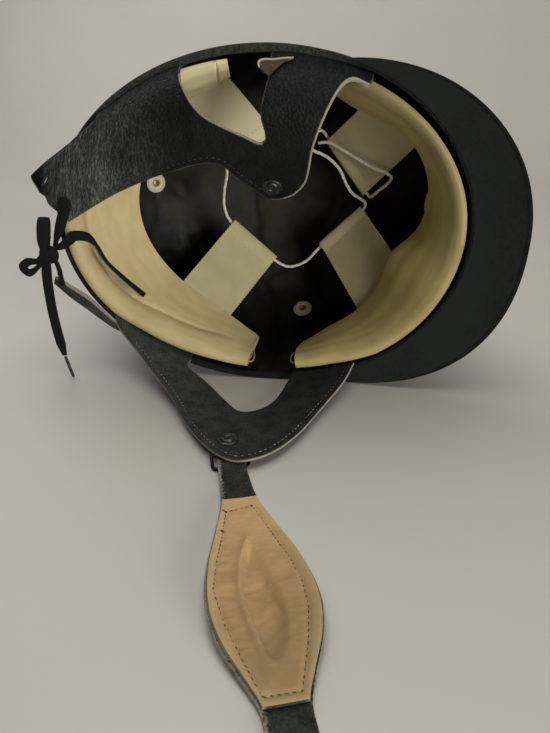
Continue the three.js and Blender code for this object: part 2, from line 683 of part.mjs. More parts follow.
// Round cord along a smooth route
function cordGeometry(route, radius, steps) {
  const section = new THREE.Shape(Array.from({ length: CORD_SIDES }, (_, i) => {
    const turn = (2 * Math.PI * i) / CORD_SIDES;
    return new THREE.Vector2(radius * Math.cos(turn), radius * Math.sin(turn));
  }));
  const path = new THREE.CatmullRomCurve3(route.map((point) => new THREE.Vector3(...point)), false, 'centripetal');
  return new THREE.ExtrudeGeometry(section, { steps, bevelEnabled: false, extrudePath: path });
}

// Flat lace along its rows
function lacePlace(row) {
  return 'angle' in row ? bandPoint(BAND_REAR, row.angle, row.along, row.lift) : new THREE.Vector3(...row.at);
}

function laceFace(row) {
  if ('face' in row) {
    return new THREE.Vector3(...row.face);
  }
  return bandPoint(BAND_REAR, row.angle, row.along, 1).sub(bandPoint(BAND_REAR, row.angle, row.along, 0));
}

function laceGeometry(table, steps) {
  const path = new THREE.CatmullRomCurve3(table.map(lacePlace), false, 'centripetal');
  const faces = table.map(laceFace);
  const rows = [];
  for (let i = 0; i <= steps; i += 1) {
    const turn = path.getUtoTmapping(i / steps) * (table.length - 1);
    const k = Math.min(Math.floor(turn), table.length - 2);
    const face = faces[k].clone().lerp(faces[k + 1], turn - k);
    const width = THREE.MathUtils.lerp(table[k].width, table[k + 1].width, turn - k);
    const centre = path.getPointAt(i / steps);
    const wide = path.getTangentAt(i / steps).cross(face).normalize();
    const thin = wide.clone().cross(path.getTangentAt(i / steps)).normalize();
    rows.push(Array.from({ length: CORD_SIDES }, (_, c) => {
      const around = (2 * Math.PI * (c + 0.5)) / CORD_SIDES;
      return centre.clone()
        .addScaledVector(wide, (width / 2) * Math.cos(around))
        .addScaledVector(thin, (LACE_THICKNESS / 2) * Math.sin(around));
    }));
  }
  return closedSkin(rows);
}

// Root of a harness arm: a strip that follows the inside of the wall
function rootSolid(from, to, side, reach) {
  const steps = 8;
  const grid = [];
  for (let i = 0; i <= steps; i += 1) {
    const x = THREE.MathUtils.lerp(from, to, i / steps);
    const y = side * wallY(x, ROOT_INSET);
    grid.push([new THREE.Vector3(x, y, reach), new THREE.Vector3(x, y, ROOT_DEPTH)]);
  }
  return solidOf(sheet(grid, HARNESS_THICKNESS));
}

// Outline points along the inside of the wall
function wallRun({ from, to }, side) {
  return Array.from({ length: 7 }, (_, i) => {
    const x = THREE.MathUtils.lerp(from, to, i / 6);
    return [x, side * (wallY(x) - ROOT_EDGE_INSET)];
  });
}

// How far the right piece stands out of the rim's plane
function hang(x, y) {
  const drop = Math.max(0, y + wallY(x));
  const share = THREE.MathUtils.clamp((x - HANG_REAR_X) / (HANG_FULL_X - HANG_REAR_X), 0, 1);
  const bulge = HANG_BULGE * THREE.MathUtils.lerp(HANG_REAR_SHARE, 1, share);
  return HANG_START + bulge * Math.sin(Math.PI * (drop / HANG_LENGTH) ** HANG_SHAPE);
}

function rightPoint(x, y) {
  return new THREE.Vector3(x, y, -hang(x, y));
}

function harnessRightGeometry() {
  const grid = RIGHT_DROPS.map((drop) => spread(RIGHT_COLUMNS).map((x) => rightPoint(x, drop - wallY(x))));
  const skin = sheet(grid, HARNESS_THICKNESS);
  const outline = [
    ...RIGHT_EDGES.napeTop,
    ...wallRun(RIGHT_EDGES.rearRoot, -1),
    ...smooth(RIGHT_EDGES.earRear, 12),
    ...smooth(RIGHT_EDGES.earFront, 6),
    ...wallRun(RIGHT_EDGES.frontRoot, -1),
    ...smooth(RIGHT_EDGES.front, 14),
    ...smooth(RIGHT_EDGES.lower, 16),
    ...RIGHT_EDGES.napeEnd,
  ];
  const cutter = prism(outline, 80);
  cutter.translate(0, 0, -60);
  const hole = new THREE.CylinderGeometry(NAPE_HOLE.radius, NAPE_HOLE.radius, 60, 10);
  hole.rotateX(Math.PI / 2);
  hole.translate(NAPE_HOLE.x, NAPE_HOLE.y, 0);
  const { rearRoot, frontRoot } = RIGHT_EDGES;
  return geometryOf(solidOf(skin).intersect(solidOf(cutter))
    .subtract(solidOf(hole))
    .add(rootSolid(rearRoot.from, rearRoot.to, -1, RIGHT_ROOT_REACH))
    .add(rootSolid(frontRoot.from, frontRoot.to, -1, RIGHT_ROOT_REACH)));
}

// Height of the left piece's middle above the surface it lies on
function leftHeight(x, ahead) {
  const start = RIM_HEIGHT - wallY(x, ROOT_INSET);
  return THREE.MathUtils.lerp(start, LEFT_TIP_HEIGHT, smoothStep(0, LEFT_FALL, ahead));
}

function leftPoint(x, ahead, lift = 0) {
  return new THREE.Vector3(x, RIM_HEIGHT - leftHeight(x, ahead) - lift, -ahead);
}

function harnessLeftGeometry() {
  const grid = spread(LEFT_LINES).map((ahead) => spread(LEFT_COLUMNS).map((x) => leftPoint(x, ahead)));
  const skin = sheet(grid, HARNESS_THICKNESS);
  const outline = [
    ...smooth([...LEFT_EDGES.rear, ...LEFT_EDGES.tip, ...LEFT_EDGES.front], 44),
    ...smooth(LEFT_EDGES.ear, 24),
  ];
  const cutter = prism(outline.map(([x, ahead]) => [x, -ahead]), 160);
  cutter.rotateX(Math.PI / 2);
  cutter.translate(0, RIM_HEIGHT + 30, 0);
  const strip = LEFT_NAPE.map(({ upper, lower }) => [new THREE.Vector3(...upper), new THREE.Vector3(...lower)]);
  let harness = solidOf(skin).intersect(solidOf(cutter)).add(solidOf(sheet(strip, LEFT_NAPE_THICKNESS)));
  LEFT_ROOTS.forEach(({ from, to }) => {
    harness = harness.add(rootSolid(from, to, 1, LEFT_ROOT_REACH));
  });
  return geometryOf(harness);
}

// Snap: a low stepped disc with a well in its middle
function snapGeometry(place, direction) {
  const { radius, ring, well, height, sides } = SNAP;
  const profile = [
    [0, 0], [radius, 0], [radius - 0.3, height * 0.5], [ring, height * 0.6], [ring - 0.5, height],
    [well + 0.4, height], [well, height * 0.4], [0, height * 0.4],
  ].map(([r, h]) => new THREE.Vector2(r, h));
  return along(new THREE.LatheGeometry(profile, sides), place, direction);
}

function snapRightGeometry() {
  const { x, y } = SNAP_RIGHT;
  const alongX = rightPoint(x + 1, y).sub(rightPoint(x - 1, y));
  const alongY = rightPoint(x, y + 1).sub(rightPoint(x, y - 1));
  const normal = alongY.cross(alongX).normalize();
  const place = rightPoint(x, y).addScaledVector(normal, HARNESS_THICKNESS / 2 + GAP);
  return snapGeometry(place, normal);
}

function snapLeftGeometry() {
  const up = new THREE.Vector3(0, -1, 0);
  return snapGeometry(leftPoint(SNAP_LEFT.x, SNAP_LEFT.ahead, HARNESS_THICKNESS / 2 + GAP), up);
}

// Chin strap and cup lining lie on the surface, in the frame of the whole part
function strapPoint(row, across, lift) {
  const side = across * row.half;
  const x = STRAP_TOP.x + STRAP_DIRECTION.x * row.along - STRAP_DIRECTION.y * side;
  const y = STRAP_TOP.y + STRAP_DIRECTION.y * row.along + STRAP_DIRECTION.x * side;
  return new THREE.Vector3(x, y, row.height + row.dish * across * across + lift);
}

function strapGeometry() {
  const grid = STRAP_ROWS.map((row) => Array.from({ length: STRAP_COLUMNS + 1 }, (_, c) =>
    strapPoint(row, (2 * c) / STRAP_COLUMNS - 1, 0)));
  return sheet(grid, STRAP_THICKNESS);
}

function cupGeometry() {
  const rows = STRAP_ROWS.filter((row) => row.along >= CUP_FROM && row.along <= CUP_TO);
  const grid = rows.map((row) => Array.from({ length: STRAP_COLUMNS + 1 }, (_, c) => {
    const across = (2 * c) / STRAP_COLUMNS - 1;
    return strapPoint(row, across * (1 - CUP_MARGIN / row.half), CUP_LIFT);
  }));
  return sheet(grid, CUP_THICKNESS);
}

function keeperGeometry() {
  const { along: s, halfWidth, halfLength, wire, frontZ, rearZ, corner } = KEEPER;
  const spot = (ahead, side) => {
    const share = (ahead + halfLength) / (2 * halfLength);
    return new THREE.Vector3(
      STRAP_TOP.x + STRAP_DIRECTION.x * (s + ahead) - STRAP_DIRECTION.y * side,
      STRAP_TOP.y + STRAP_DIRECTION.y * (s + ahead) + STRAP_DIRECTION.x * side,
      THREE.MathUtils.lerp(rearZ, frontZ, share));
  };
  const [l, w] = [halfLength, halfWidth];
  const ring = [
    spot(l, w - corner), spot(l - corner * 0.6, w), spot(-l + corner * 0.6, w), spot(-l, w - corner),
    spot(-l, 0), spot(-l, corner - w), spot(-l + corner * 0.6, -w), spot(l - corner * 0.6, -w),
    spot(l, corner - w), spot(l, 0),
  ];
  const loops = ring.map((point, i) => {
    const before = ring[(i + ring.length - 1) % ring.length];
    const after = ring[(i + 1) % ring.length];
    const tangent = after.clone().sub(before).normalize();
    const sideways = new THREE.Vector3(0, 0, 1).cross(tangent).normalize();
    const upward = tangent.clone().cross(sideways);
    return Array.from({ length: CORD_SIDES }, (_, k) => {
      const turn = (2 * Math.PI * k) / CORD_SIDES;
      return point.clone().addScaledVector(sideways, wire * Math.cos(turn))
        .addScaledVector(upward, wire * Math.sin(turn));
    });
  });
  return closedRing(loops);
}

// Ring of loops whose last loop joins its first
function closedRing(loops) {
  const count = loops[0].length;
  const positions = [];
  const index = [];
  loops.forEach((loop) => loop.forEach((point) => positions.push(point.x, point.y, point.z)));
  for (let r = 0; r < loops.length; r += 1) {
    const next = (r + 1) % loops.length;
    for (let c = 0; c < count; c += 1) {
      const d = (c + 1) % count;
      index.push(r * count + c, r * count + d, next * count + c);
      index.push(r * count + d, next * count + d, next * count + c);
    }
  }
  const geometry = new THREE.BufferGeometry();
  geometry.setAttribute('position', new THREE.Float32BufferAttribute(positions, 3));
  geometry.setIndex(index);
  return facingOut(geometry);
}

// Bow of the lace: its two loops fused to the knot
function bowGeometry() {
  const loops = solidOf(laceGeometry(LACE_BOW, LACE_STEPS.bow));
  const knot = new THREE.SphereGeometry(1, 8, 6);
  knot.scale(...KNOT.half);
  knot.translate(KNOT.x, KNOT.y, KNOT.z);
  return geometryOf(loops.add(solidOf(knot)));
}

function laceTipGeometry() {
  const { from, to, radius } = LACE_TIP;
  return cordGeometry([from, to], radius, 1);
}

// Assembly: the helmet lies in the group of what rests on the surface, and that group is centred
const part = new THREE.Group();
const lying = new THREE.Group();
const helmet = new THREE.Group();
helmet.rotation.x = -Math.PI / 2;
helmet.position.z = RIM_HEIGHT;
lying.add(helmet);
part.add(lying);

function place(group, name, geometry, material) {
  const mesh = new THREE.Mesh(geometry, material);
  mesh.name = name;
  group.add(mesh);
  return mesh;
}

place(helmet, 'shell', shellGeometry(), finish('#1d201e', 0.85));
place(helmet, 'peak', peakGeometry(), finish('#1d201e', 0.85));
EYELETS.forEach((eyelet) => {
  place(helmet, eyelet.name, eyeletGeometry(eyelet), finish('#cfc39a', 0.5));
});
place(helmet, 'headband_rear', headbandGeometry(BAND_REAR), finish('#c4ae76', 0.6));
place(helmet, 'headband_front', headbandGeometry(BAND_FRONT), finish('#c4ae76', 0.6));
TAPES.forEach((tape) => {
  place(helmet, tape.name, tapeGeometry(tape), finish('#aea68a', 0.9));
});
place(helmet, 'drawstring', cordGeometry(DRAWSTRING_ROUTE, CORD_RADIUS, DRAWSTRING_STEPS),
  finish('#d2ccba', 0.85));
place(helmet, 'harness_right', harnessRightGeometry(), finish('#23262a', 0.5));
place(helmet, 'harness_left', harnessLeftGeometry(), finish('#323432', 0.9));
place(helmet, 'snap_right', snapRightGeometry(), finish('#17191a', 0.35, 0.8));
place(helmet, 'snap_left', snapLeftGeometry(), finish('#17191a', 0.35, 0.8));
place(lying, 'keeper', keeperGeometry(), finish('#1a1813', 0.4, 0.8));
place(lying, 'chin_strap', strapGeometry(), finish('#2b2d2c', 0.85));
place(lying, 'chin_cup', cupGeometry(), finish('#be9a66', 0.75));
place(helmet, 'lace_upper', laceGeometry(LACE_UPPER, LACE_STEPS.upper), finish('#15171a', 0.9));
place(helmet, 'lace_lower', laceGeometry(LACE_LOWER, LACE_STEPS.lower), finish('#15171a', 0.9));
place(helmet, 'lace_bow', bowGeometry(), finish('#15171a', 0.9));
place(helmet, 'lace_tip', laceTipGeometry(), finish('#3a3b3c', 0.35, 0.6));

// Origin under the middle of the box round everything but the cords
const CORDS = ['drawstring', 'lace_upper', 'lace_lower', 'lace_bow', 'lace_tip'];
const box = new THREE.Box3();
part.updateMatrixWorld(true);
part.traverse((node) => {
  if (node.isMesh && !CORDS.includes(node.name)) {
    box.expandByObject(node, true);
  }
});
const middle = box.getCenter(new THREE.Vector3());
const toStep = (value) => Math.round(value * 20) / 20;
lying.position.set(-toStep(middle.x), -toStep(middle.y), 0);

export default part;
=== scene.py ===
import math

import bpy
import numpy as np
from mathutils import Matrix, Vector, noise
from mathutils.geometry import delaunay_2d_cdt


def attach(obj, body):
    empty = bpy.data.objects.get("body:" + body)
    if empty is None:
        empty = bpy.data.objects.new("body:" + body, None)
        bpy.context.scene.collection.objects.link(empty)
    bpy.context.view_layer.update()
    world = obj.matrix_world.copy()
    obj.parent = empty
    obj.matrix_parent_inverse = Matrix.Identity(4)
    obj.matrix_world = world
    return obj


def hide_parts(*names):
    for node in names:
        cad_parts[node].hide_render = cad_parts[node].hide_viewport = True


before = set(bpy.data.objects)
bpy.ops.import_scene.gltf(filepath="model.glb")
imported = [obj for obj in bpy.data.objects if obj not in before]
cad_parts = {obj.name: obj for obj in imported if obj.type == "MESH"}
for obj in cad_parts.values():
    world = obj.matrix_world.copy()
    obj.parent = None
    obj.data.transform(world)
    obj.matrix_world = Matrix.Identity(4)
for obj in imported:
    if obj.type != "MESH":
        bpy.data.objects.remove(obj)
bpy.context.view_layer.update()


# Shell: the hard crown, built up from layers of stiff cloth and lacquered black inside. Black velvet covers
# its outside and turns in over the rim as a narrow strip. Three vent holes are punched through its wall.
# Lengths are in millimetres in the helmet's own frame: x to the front, y to the left, z to the crown.
RIM_CENTRE = (-8.25, 69.8, 96.4)
HALF_LENGTH = 121.5
HALF_WIDTH = 96.5
FRONT_WIDENING = 0.03
WALL = 2.0
CROWN_HEIGHT = 134.0
STRAIGHT_HEIGHT = 58.0
CROWN_POWER = 2.3
RESTING_FLAT = 96.35
TURN_IN_HEIGHT = 5.8
SHELL_SEGMENTS = 192
VENTS = {"eyelet_rear": (184.6, 110), "eyelet_left": (79.8, 96.3), "eyelet_right": (-79.8, 96.3)}
VENT_HOLE = 4.6
RIM_ROLL_AT = [0, 194, 206, 222, 244, 284, 300, 360]
RIM_ROLL_THICK = [2.2, 2.2, 3.2, 4.1, 4.5, 4.5, 2.2, 2.2]
RIM_ROLL = [(1.4, 0.0), (0.55, 0.03), (0.15, 0.12), (0.0, 0.3), (0.22, 0.48), (0.05, 0.66), (0.2, 0.86),
            (0.7, 0.97),
            (1.6, 1.0), (3.6, 0.98)]


def to_row(points):
    """The helmet lies on its left side, so its frame is turned and moved into the row frame, in metres."""
    p = np.asarray(points, float)
    turned = np.stack([p[..., 0], p[..., 2], -p[..., 1]], axis=-1)
    return (turned + np.array(RIM_CENTRE)) / 1000


def linear(code):
    """A colour written as sRGB hex, as linear red, green, blue and alpha."""
    parts = [int(code[i:i + 2], 16) / 255 for i in (1, 3, 5)]
    return (*[c / 12.92 if c <= 0.04045 else ((c + 0.055) / 1.055) ** 2.4 for c in parts], 1.0)


def add_node(tree, kind, inputs=None, stops=None, **settings):
    """One node with its settings, its values or links, and a colour ramp's stops.

    A kind with no family is a shader's, and a node given as an input is linked by its first output in use.
    """
    node = tree.nodes.new(kind if "Node" in kind else "ShaderNode" + kind)
    for name, value in settings.items():
        setattr(node, name, value)
    for key, value in (inputs or {}).items():
        if isinstance(value, bpy.types.Node):
            value = next(socket for socket in value.outputs if socket.enabled)
        if isinstance(value, bpy.types.NodeSocket):
            tree.links.new(value, node.inputs[key])
        else:
            node.inputs[key].default_value = value
    for i, (place, code) in enumerate(stops or []):
        ramp = node.color_ramp.elements
        element = ramp[i] if i < len(ramp) else ramp.new(place)
        element.position = place
        element.color = linear(code)
    return node


def new_material(name):
    material = bpy.data.materials.new(name)
    material.use_nodes = True
    material.node_tree.nodes.clear()
    return material, material.node_tree


def skin(rings, loop=False):
    """Points and faces of a body swept through closed rings, closed on itself or capped at both ends."""
    rings = np.asarray(rings, float)
    rows, columns = rings.shape[:2]
    last = rows if loop else rows - 1
    faces = []
    for r in range(last):
        below = r * columns
        above = ((r + 1) % rows) * columns
        for c in range(columns):
            d = (c + 1) % columns
            faces.append((below + c, below + d, above + d, above + c))
    if not loop:
        faces.append(tuple(range(columns))[::-1])
        faces.append(tuple(range((rows - 1) * columns, rows * columns)))
    return rings.reshape(-1, 3), faces


def add_piece(name, points, faces, materials, kinds=None, flat=None, marks=None, sharp=38,
              replaces=()):
    """A piece of the helmet as a mesh in place, with faces outwards, flat coordinates and named marks."""
    mesh = bpy.data.meshes.new(name)
    mesh.from_pydata(np.asarray(points).tolist(), [], faces)
    for material in materials:
        mesh.materials.append(material)
    if kinds is not None:
        mesh.polygons.foreach_set("material_index", np.asarray(kinds, np.int32))
    if flat is not None:
        layer = mesh.attributes.new("flat", "FLOAT_VECTOR", "POINT")
        layer.data.foreach_set("vector", np.asarray(flat, np.float32).ravel())
    for mark, strength in (marks or {}).items():
        layer = mesh.attributes.new(mark, "FLOAT", "POINT")
        layer.data.foreach_set("value", np.asarray(strength, np.float32))
    mesh.calc_loop_triangles()
    corners = np.array([t.vertices for t in mesh.loop_triangles])
    a, b, c = (np.asarray(points)[corners[:, i]] for i in range(3))
    if (a * np.cross(b, c)).sum() < 0:
        mesh.flip_normals()
    mesh.shade_smooth()
    mesh.set_sharp_from_angle(angle=math.radians(sharp))
    piece = bpy.data.objects.new(name, mesh)
    bpy.context.scene.collection.objects.link(piece)
    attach(piece, "root")
    if replaces:
        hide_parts(*replaces)
    return piece


def oval(turn, inset, scale=1.0):
    """Points of the rim's oval, flattened a little where the helmet rests."""
    x = (HALF_LENGTH - inset) * scale * np.cos(turn)
    y = (HALF_WIDTH - inset) * scale * np.sin(turn) * (1 + FRONT_WIDENING * np.cos(turn))
    return x, np.minimum(y, RESTING_FLAT)


def crown_scale(z, inset):
    share = np.clip((z - STRAIGHT_HEIGHT) / (CROWN_HEIGHT - inset - STRAIGHT_HEIGHT), 0, 1)
    return (1 - share ** CROWN_POWER) ** (1 / CROWN_POWER)


def lumps(points, size, seed=0.0):
    """Smooth noise at each point, from about -1 to 1, with features of that size in the points' own unit."""
    return np.array([noise.noise(Vector(p) / size + Vector((seed, 2.7 * seed, 5.1))) for p in points])


def vent_place(angle, height):
    """Middle of the wall at a vent, and the way out through it, in the row frame."""
    turn = math.radians(angle)

    def at(t, z):
        x, y = oval(t, WALL / 2, crown_scale(z, WALL / 2))
        return to_row([x, y, z])

    outward = np.cross(at(turn + 0.01, height) - at(turn - 0.01, height),
                       at(turn, height + 1) - at(turn, height - 1))
    return at(turn, height), outward / np.linalg.norm(outward)


def turned(profile, place, axis, sides):
    """Rings of a turned form: radius and height of each profile point, about an axis, in millimetres."""
    up = Vector(axis).normalized()
    side = up.orthogonal().normalized()
    other = up.cross(side)
    around = np.linspace(0, 2 * math.pi, sides, endpoint=False)
    circle = np.cos(around)[:, None] * np.array(side) + np.sin(around)[:, None] * np.array(other)
    return np.array([np.array(place) + (r * circle + h * np.array(up)) / 1000 for r, h in profile])


# Cotton velvet: a dense short pile that swallows light and shows a soft grey sheen where it turns away. Along
# the upper rim its colour is painted grey, partly for pile worn thin there and partly as painted light on the
# lit top of the rim, fading towards the lower rim, which lies in shade.
velvet, tree = new_material("black cotton velvet")
place = add_node(tree, "TexCoord").outputs["Object"]
pile = add_node(tree, "TexNoise", {"Vector": place, "Scale": 1000 / 1.1, "Detail": 3.0})
wear = add_node(tree, "TexNoise", {"Vector": place, "Scale": 1000 / 22, "Detail": 4.0})
both = add_node(tree, "Math", {0: pile, 1: wear}, operation="MULTIPLY")
tone = add_node(tree, "ValToRGB", {"Fac": both}, stops=[(0.12, "#0C0E0D"), (0.42, "#1C1F1C")])
spot = add_node(tree, "SeparateXYZ", {0: place})
on_rim = add_node(tree, "MapRange", {
    "Value": spot.outputs["Y"], "From Min": 0.0735, "From Max": 0.076, "To Min": 1.0, "To Max": 0.0})
behind = add_node(tree, "MapRange", {
    "Value": spot.outputs["X"], "From Min": 0.02, "From Max": 0.05, "To Min": 1.0, "To Max": 0.0})
# Painted light: the grey strip is full on the upper rim and fades towards the lower rim, which lies in shade.
upper = add_node(tree, "MapRange", {
    "Value": spot.outputs["Z"], "From Min": 0.06, "From Max": 0.13, "To Min": 0.15})
worn_and_lit_rim = add_node(tree, "Math", {0: on_rim, 1: behind}, operation="MULTIPLY")
worn_and_lit_rim = add_node(tree, "Math", {0: worn_and_lit_rim, 1: upper}, operation="MULTIPLY")
thin = add_node(tree, "ValToRGB", {"Fac": pile}, stops=[(0.35, "#242620"), (0.65, "#3E4038")])
tone = add_node(tree, "Mix", {0: worn_and_lit_rim, 6: tone, 7: thin}, data_type="RGBA")
bump = add_node(tree, "Bump", {"Height": pile, "Strength": 0.5, "Distance": 0.0004})
shader = add_node(tree, "BsdfPrincipled", {
    "Base Color": tone, "Roughness": 0.95, "Specular IOR Level": 0.1, "Sheen Weight": 0.04,
    "Sheen Roughness": 0.5, "Normal": bump})
add_node(tree, "OutputMaterial", {"Surface": shader})

# Spirit lacquer brushed over overlapping pieces of cloth: black and a little brown, with a dull shine on the
# wall, the edges of the cloth showing through it, and runs from rim to crown. Over the crown it is greyer and
# duller. On the wall a pale wispy patch of painted light lies where the wall is in shade, and beside it a
# dark patch.
lacquer, tree = new_material("black spirit lacquer")
place = add_node(tree, "TexCoord").outputs["Object"]
runs = add_node(tree, "Mapping", {"Vector": place, "Scale": (1.0, 0.16, 1.0)})
streaks = add_node(tree, "TexNoise", {"Vector": runs, "Scale": 1000 / 7, "Detail": 5.0})
clouds = add_node(tree, "TexNoise", {"Vector": place, "Scale": 1000 / 16, "Detail": 6.0})
sway = add_node(tree, "TexNoise", {"Vector": place, "Scale": 1000 / 40, "Detail": 1.0})
swayed = add_node(tree, "VectorMath", {0: sway.outputs["Color"], 1: (0.03, 0.03, 0.03), 2: place},
                  operation="MULTIPLY_ADD")
upright = add_node(tree, "Mapping", {"Vector": swayed, "Scale": (1.0, 0.3, 1.0)})
overlap = add_node(tree, "TexVoronoi", {"Vector": upright, "Scale": 1000 / 74}, feature="DISTANCE_TO_EDGE")
step = add_node(tree, "MapRange", {"Value": overlap, "From Min": 0.0, "From Max": 0.05, "To Min": 0.3})
tone = add_node(tree, "ValToRGB", {"Fac": clouds}, stops=[(0.3, "#0F0F0D"), (0.75, "#24231E")])
deep = add_node(tree, "SeparateXYZ", {0: place})
crown = add_node(tree, "MapRange", {"Value": deep.outputs["Y"], "From Min": 0.177, "From Max": 0.187})
crown_grey = add_node(tree, "ValToRGB", {"Fac": clouds}, stops=[(0.3, "#232119"), (0.7, "#37352A")])
tone = add_node(tree, "Mix", {0: crown, 6: tone, 7: crown_grey}, data_type="RGBA")
tone = add_node(tree, "Mix", {0: step, 6: linear("#070706"), 7: tone}, data_type="RGBA")
wisps = add_node(tree, "TexNoise", {"Vector": place, "Scale": 1000 / 20, "Detail": 5.0, "Distortion": 1.4})
# A pale patch of painted light, standing in for a dull reflection where the wall is in shade, and a dark
# patch beside it.
for middle, near, far, code, wisp_from in (((-0.077, 0.186, 0.054), 0.005, 0.020, "#5C5D55", 0.35),
                                           ((-0.086, 0.188, 0.101), 0.006, 0.018, "#0B0B0A", 0.3)):
    away = add_node(tree, "VectorMath", {0: place, 1: middle}, operation="DISTANCE")
    patch = add_node(tree, "MapRange", {
        "Value": away, "From Min": near, "From Max": far, "To Min": 1.0, "To Max": 0.0})
    wispy = add_node(tree, "MapRange", {"Value": wisps, "From Min": wisp_from, "From Max": wisp_from + 0.3})
    painted_patch = add_node(tree, "Math", {0: patch, 1: wispy}, operation="MULTIPLY")
    tone = add_node(tree, "Mix", {0: painted_patch, 6: tone, 7: linear(code)}, data_type="RGBA")
wall = add_node(tree, "MapRange", {
    "Value": streaks, "From Min": 0.3, "From Max": 0.75, "To Min": 0.4, "To Max": 0.7})
dull = add_node(tree, "Mix", {0: crown, 2: wall, 3: 0.7})
ledge = add_node(tree, "Bump", {"Height": step, "Strength": 0.6, "Distance": 0.0008})
bump = add_node(tree, "Bump", {"Height": streaks, "Strength": 0.4, "Distance": 0.0006, "Normal": ledge})
shader = add_node(tree, "BsdfPrincipled", {
    "Base Color": tone, "Roughness": dull, "Specular IOR Level": 0.16, "Normal": bump})
add_node(tree, "OutputMaterial", {"Surface": shader})

turns = np.linspace(0, 2 * math.pi, SHELL_SEGMENTS, endpoint=False)
arch = np.linspace(0.004, math.pi / 2, 30)
arch_rise = np.cos(arch).clip(0) ** (2 / CROWN_POWER)
arch_scale = np.sin(arch) ** (2 / CROWN_POWER)
outside = [(STRAIGHT_HEIGHT + (CROWN_HEIGHT - STRAIGHT_HEIGHT) * r, 0.0, s)
           for r, s in zip(arch_rise, arch_scale)]
outside += [(z, 0.0, 1.0) for z in np.linspace(50, 2.5, 8)]
thick = np.interp(np.degrees(turns), RIM_ROLL_AT, RIM_ROLL_THICK)
outside += [(z, share * thick, 1.0) for z, share in RIM_ROLL]
outside.append((5.2, 2.2, 1.0))
inside = [(z, WALL, 1.0) for z in np.linspace(TURN_IN_HEIGHT, 50, 10)]
rise = CROWN_HEIGHT - WALL - STRAIGHT_HEIGHT
inside += [(STRAIGHT_HEIGHT + rise * r, WALL, s) for r, s in zip(arch_rise[::-1], arch_scale[::-1])]
rings = []
for z, inset, scale in outside + inside:
    x, y = oval(turns, inset, scale)
    rings.append(np.stack([x, y, np.full_like(x, z)], axis=1))
rings = np.array(rings)
waviness = lumps(rings[len(outside):].reshape(-1, 3), 26.0, 1.0).reshape(len(inside), SHELL_SEGMENTS, 1)
rings[len(outside):, :, :2] *= 1 + 0.0022 * waviness
points, faces = skin(to_row(rings))
kinds = [0] * (len(outside) * SHELL_SEGMENTS) + [1] * ((len(inside) - 1) * SHELL_SEGMENTS) + [0, 1]
shell = add_piece("shell_cover_and_lining", points, faces, [velvet, lacquer], kinds,
                  replaces=["shell"])
for angle, height in VENTS.values():
    centre, axis = vent_place(angle, height)
    drill_points, drill_faces = skin(turned([(VENT_HOLE, -8), (VENT_HOLE, 8)], centre, axis, 32))
    drill_mesh = bpy.data.meshes.new("drill")
    drill_mesh.from_pydata(drill_points.tolist(), [], drill_faces)
    drill = bpy.data.objects.new("drill", drill_mesh)
    bpy.context.scene.collection.objects.link(drill)
    cut = shell.modifiers.new("vent", "BOOLEAN")
    cut.object = drill
    cut.solver = "EXACT"
    bpy.context.view_layer.update()
    cut_mesh = bpy.data.meshes.new_from_object(shell.evaluated_get(bpy.context.evaluated_depsgraph_get()))
    shell.modifiers.remove(cut)
    shell.data = cut_mesh
    bpy.data.objects.remove(drill)


# Peak: a short stiff brim pressed from board and sewn under the velvet at the front of the rim. Its underside
# is lined with black cloth, and the velvet comes round its edge as a soft binding.
PEAK_BACK = 52.0
PEAK_REACH = 97.5
PEAK_SIDES = {-1: (89.6, 2.06, 47.0), 1: (96.0, 2.3, 24.0)}
PEAK_ROOT_Z = 1.9
PEAK_SIDE_Z = 2.2
PEAK_TIP_Z = -9.0
PEAK_ROOT_HALF = 1.5
PEAK_EDGE_HALF = 1.1
PEAK_OVERLAP = 0.7
PEAK_COLUMNS = 140
PEAK_ROWS = 22

# Lining cloth: dull black, faintly mottled with dust and grey where it has been handled.
lining, tree = new_material("black lining cloth")
place = add_node(tree, "TexCoord").outputs["Object"]
dust = add_node(tree, "TexNoise", {"Vector": place, "Scale": 1000 / 2.2, "Detail": 6.0, "Roughness": 0.7})
handled = add_node(tree, "TexNoise", {"Vector": place, "Scale": 1000 / 30, "Detail": 3.0})
both = add_node(tree, "Math", {0: dust, 1: handled}, operation="ADD")
tone = add_node(tree, "ValToRGB", {"Fac": both}, stops=[(0.7, "#101211"), (1.0, "#1A1D1B")])
bump = add_node(tree, "Bump", {"Height": dust, "Strength": 0.35, "Distance": 0.0003})
shader = add_node(tree, "BsdfPrincipled", {
    "Base Color": tone, "Roughness": 0.9, "Specular IOR Level": 0.25, "Normal": bump})
add_node(tree, "OutputMaterial", {"Surface": shader})

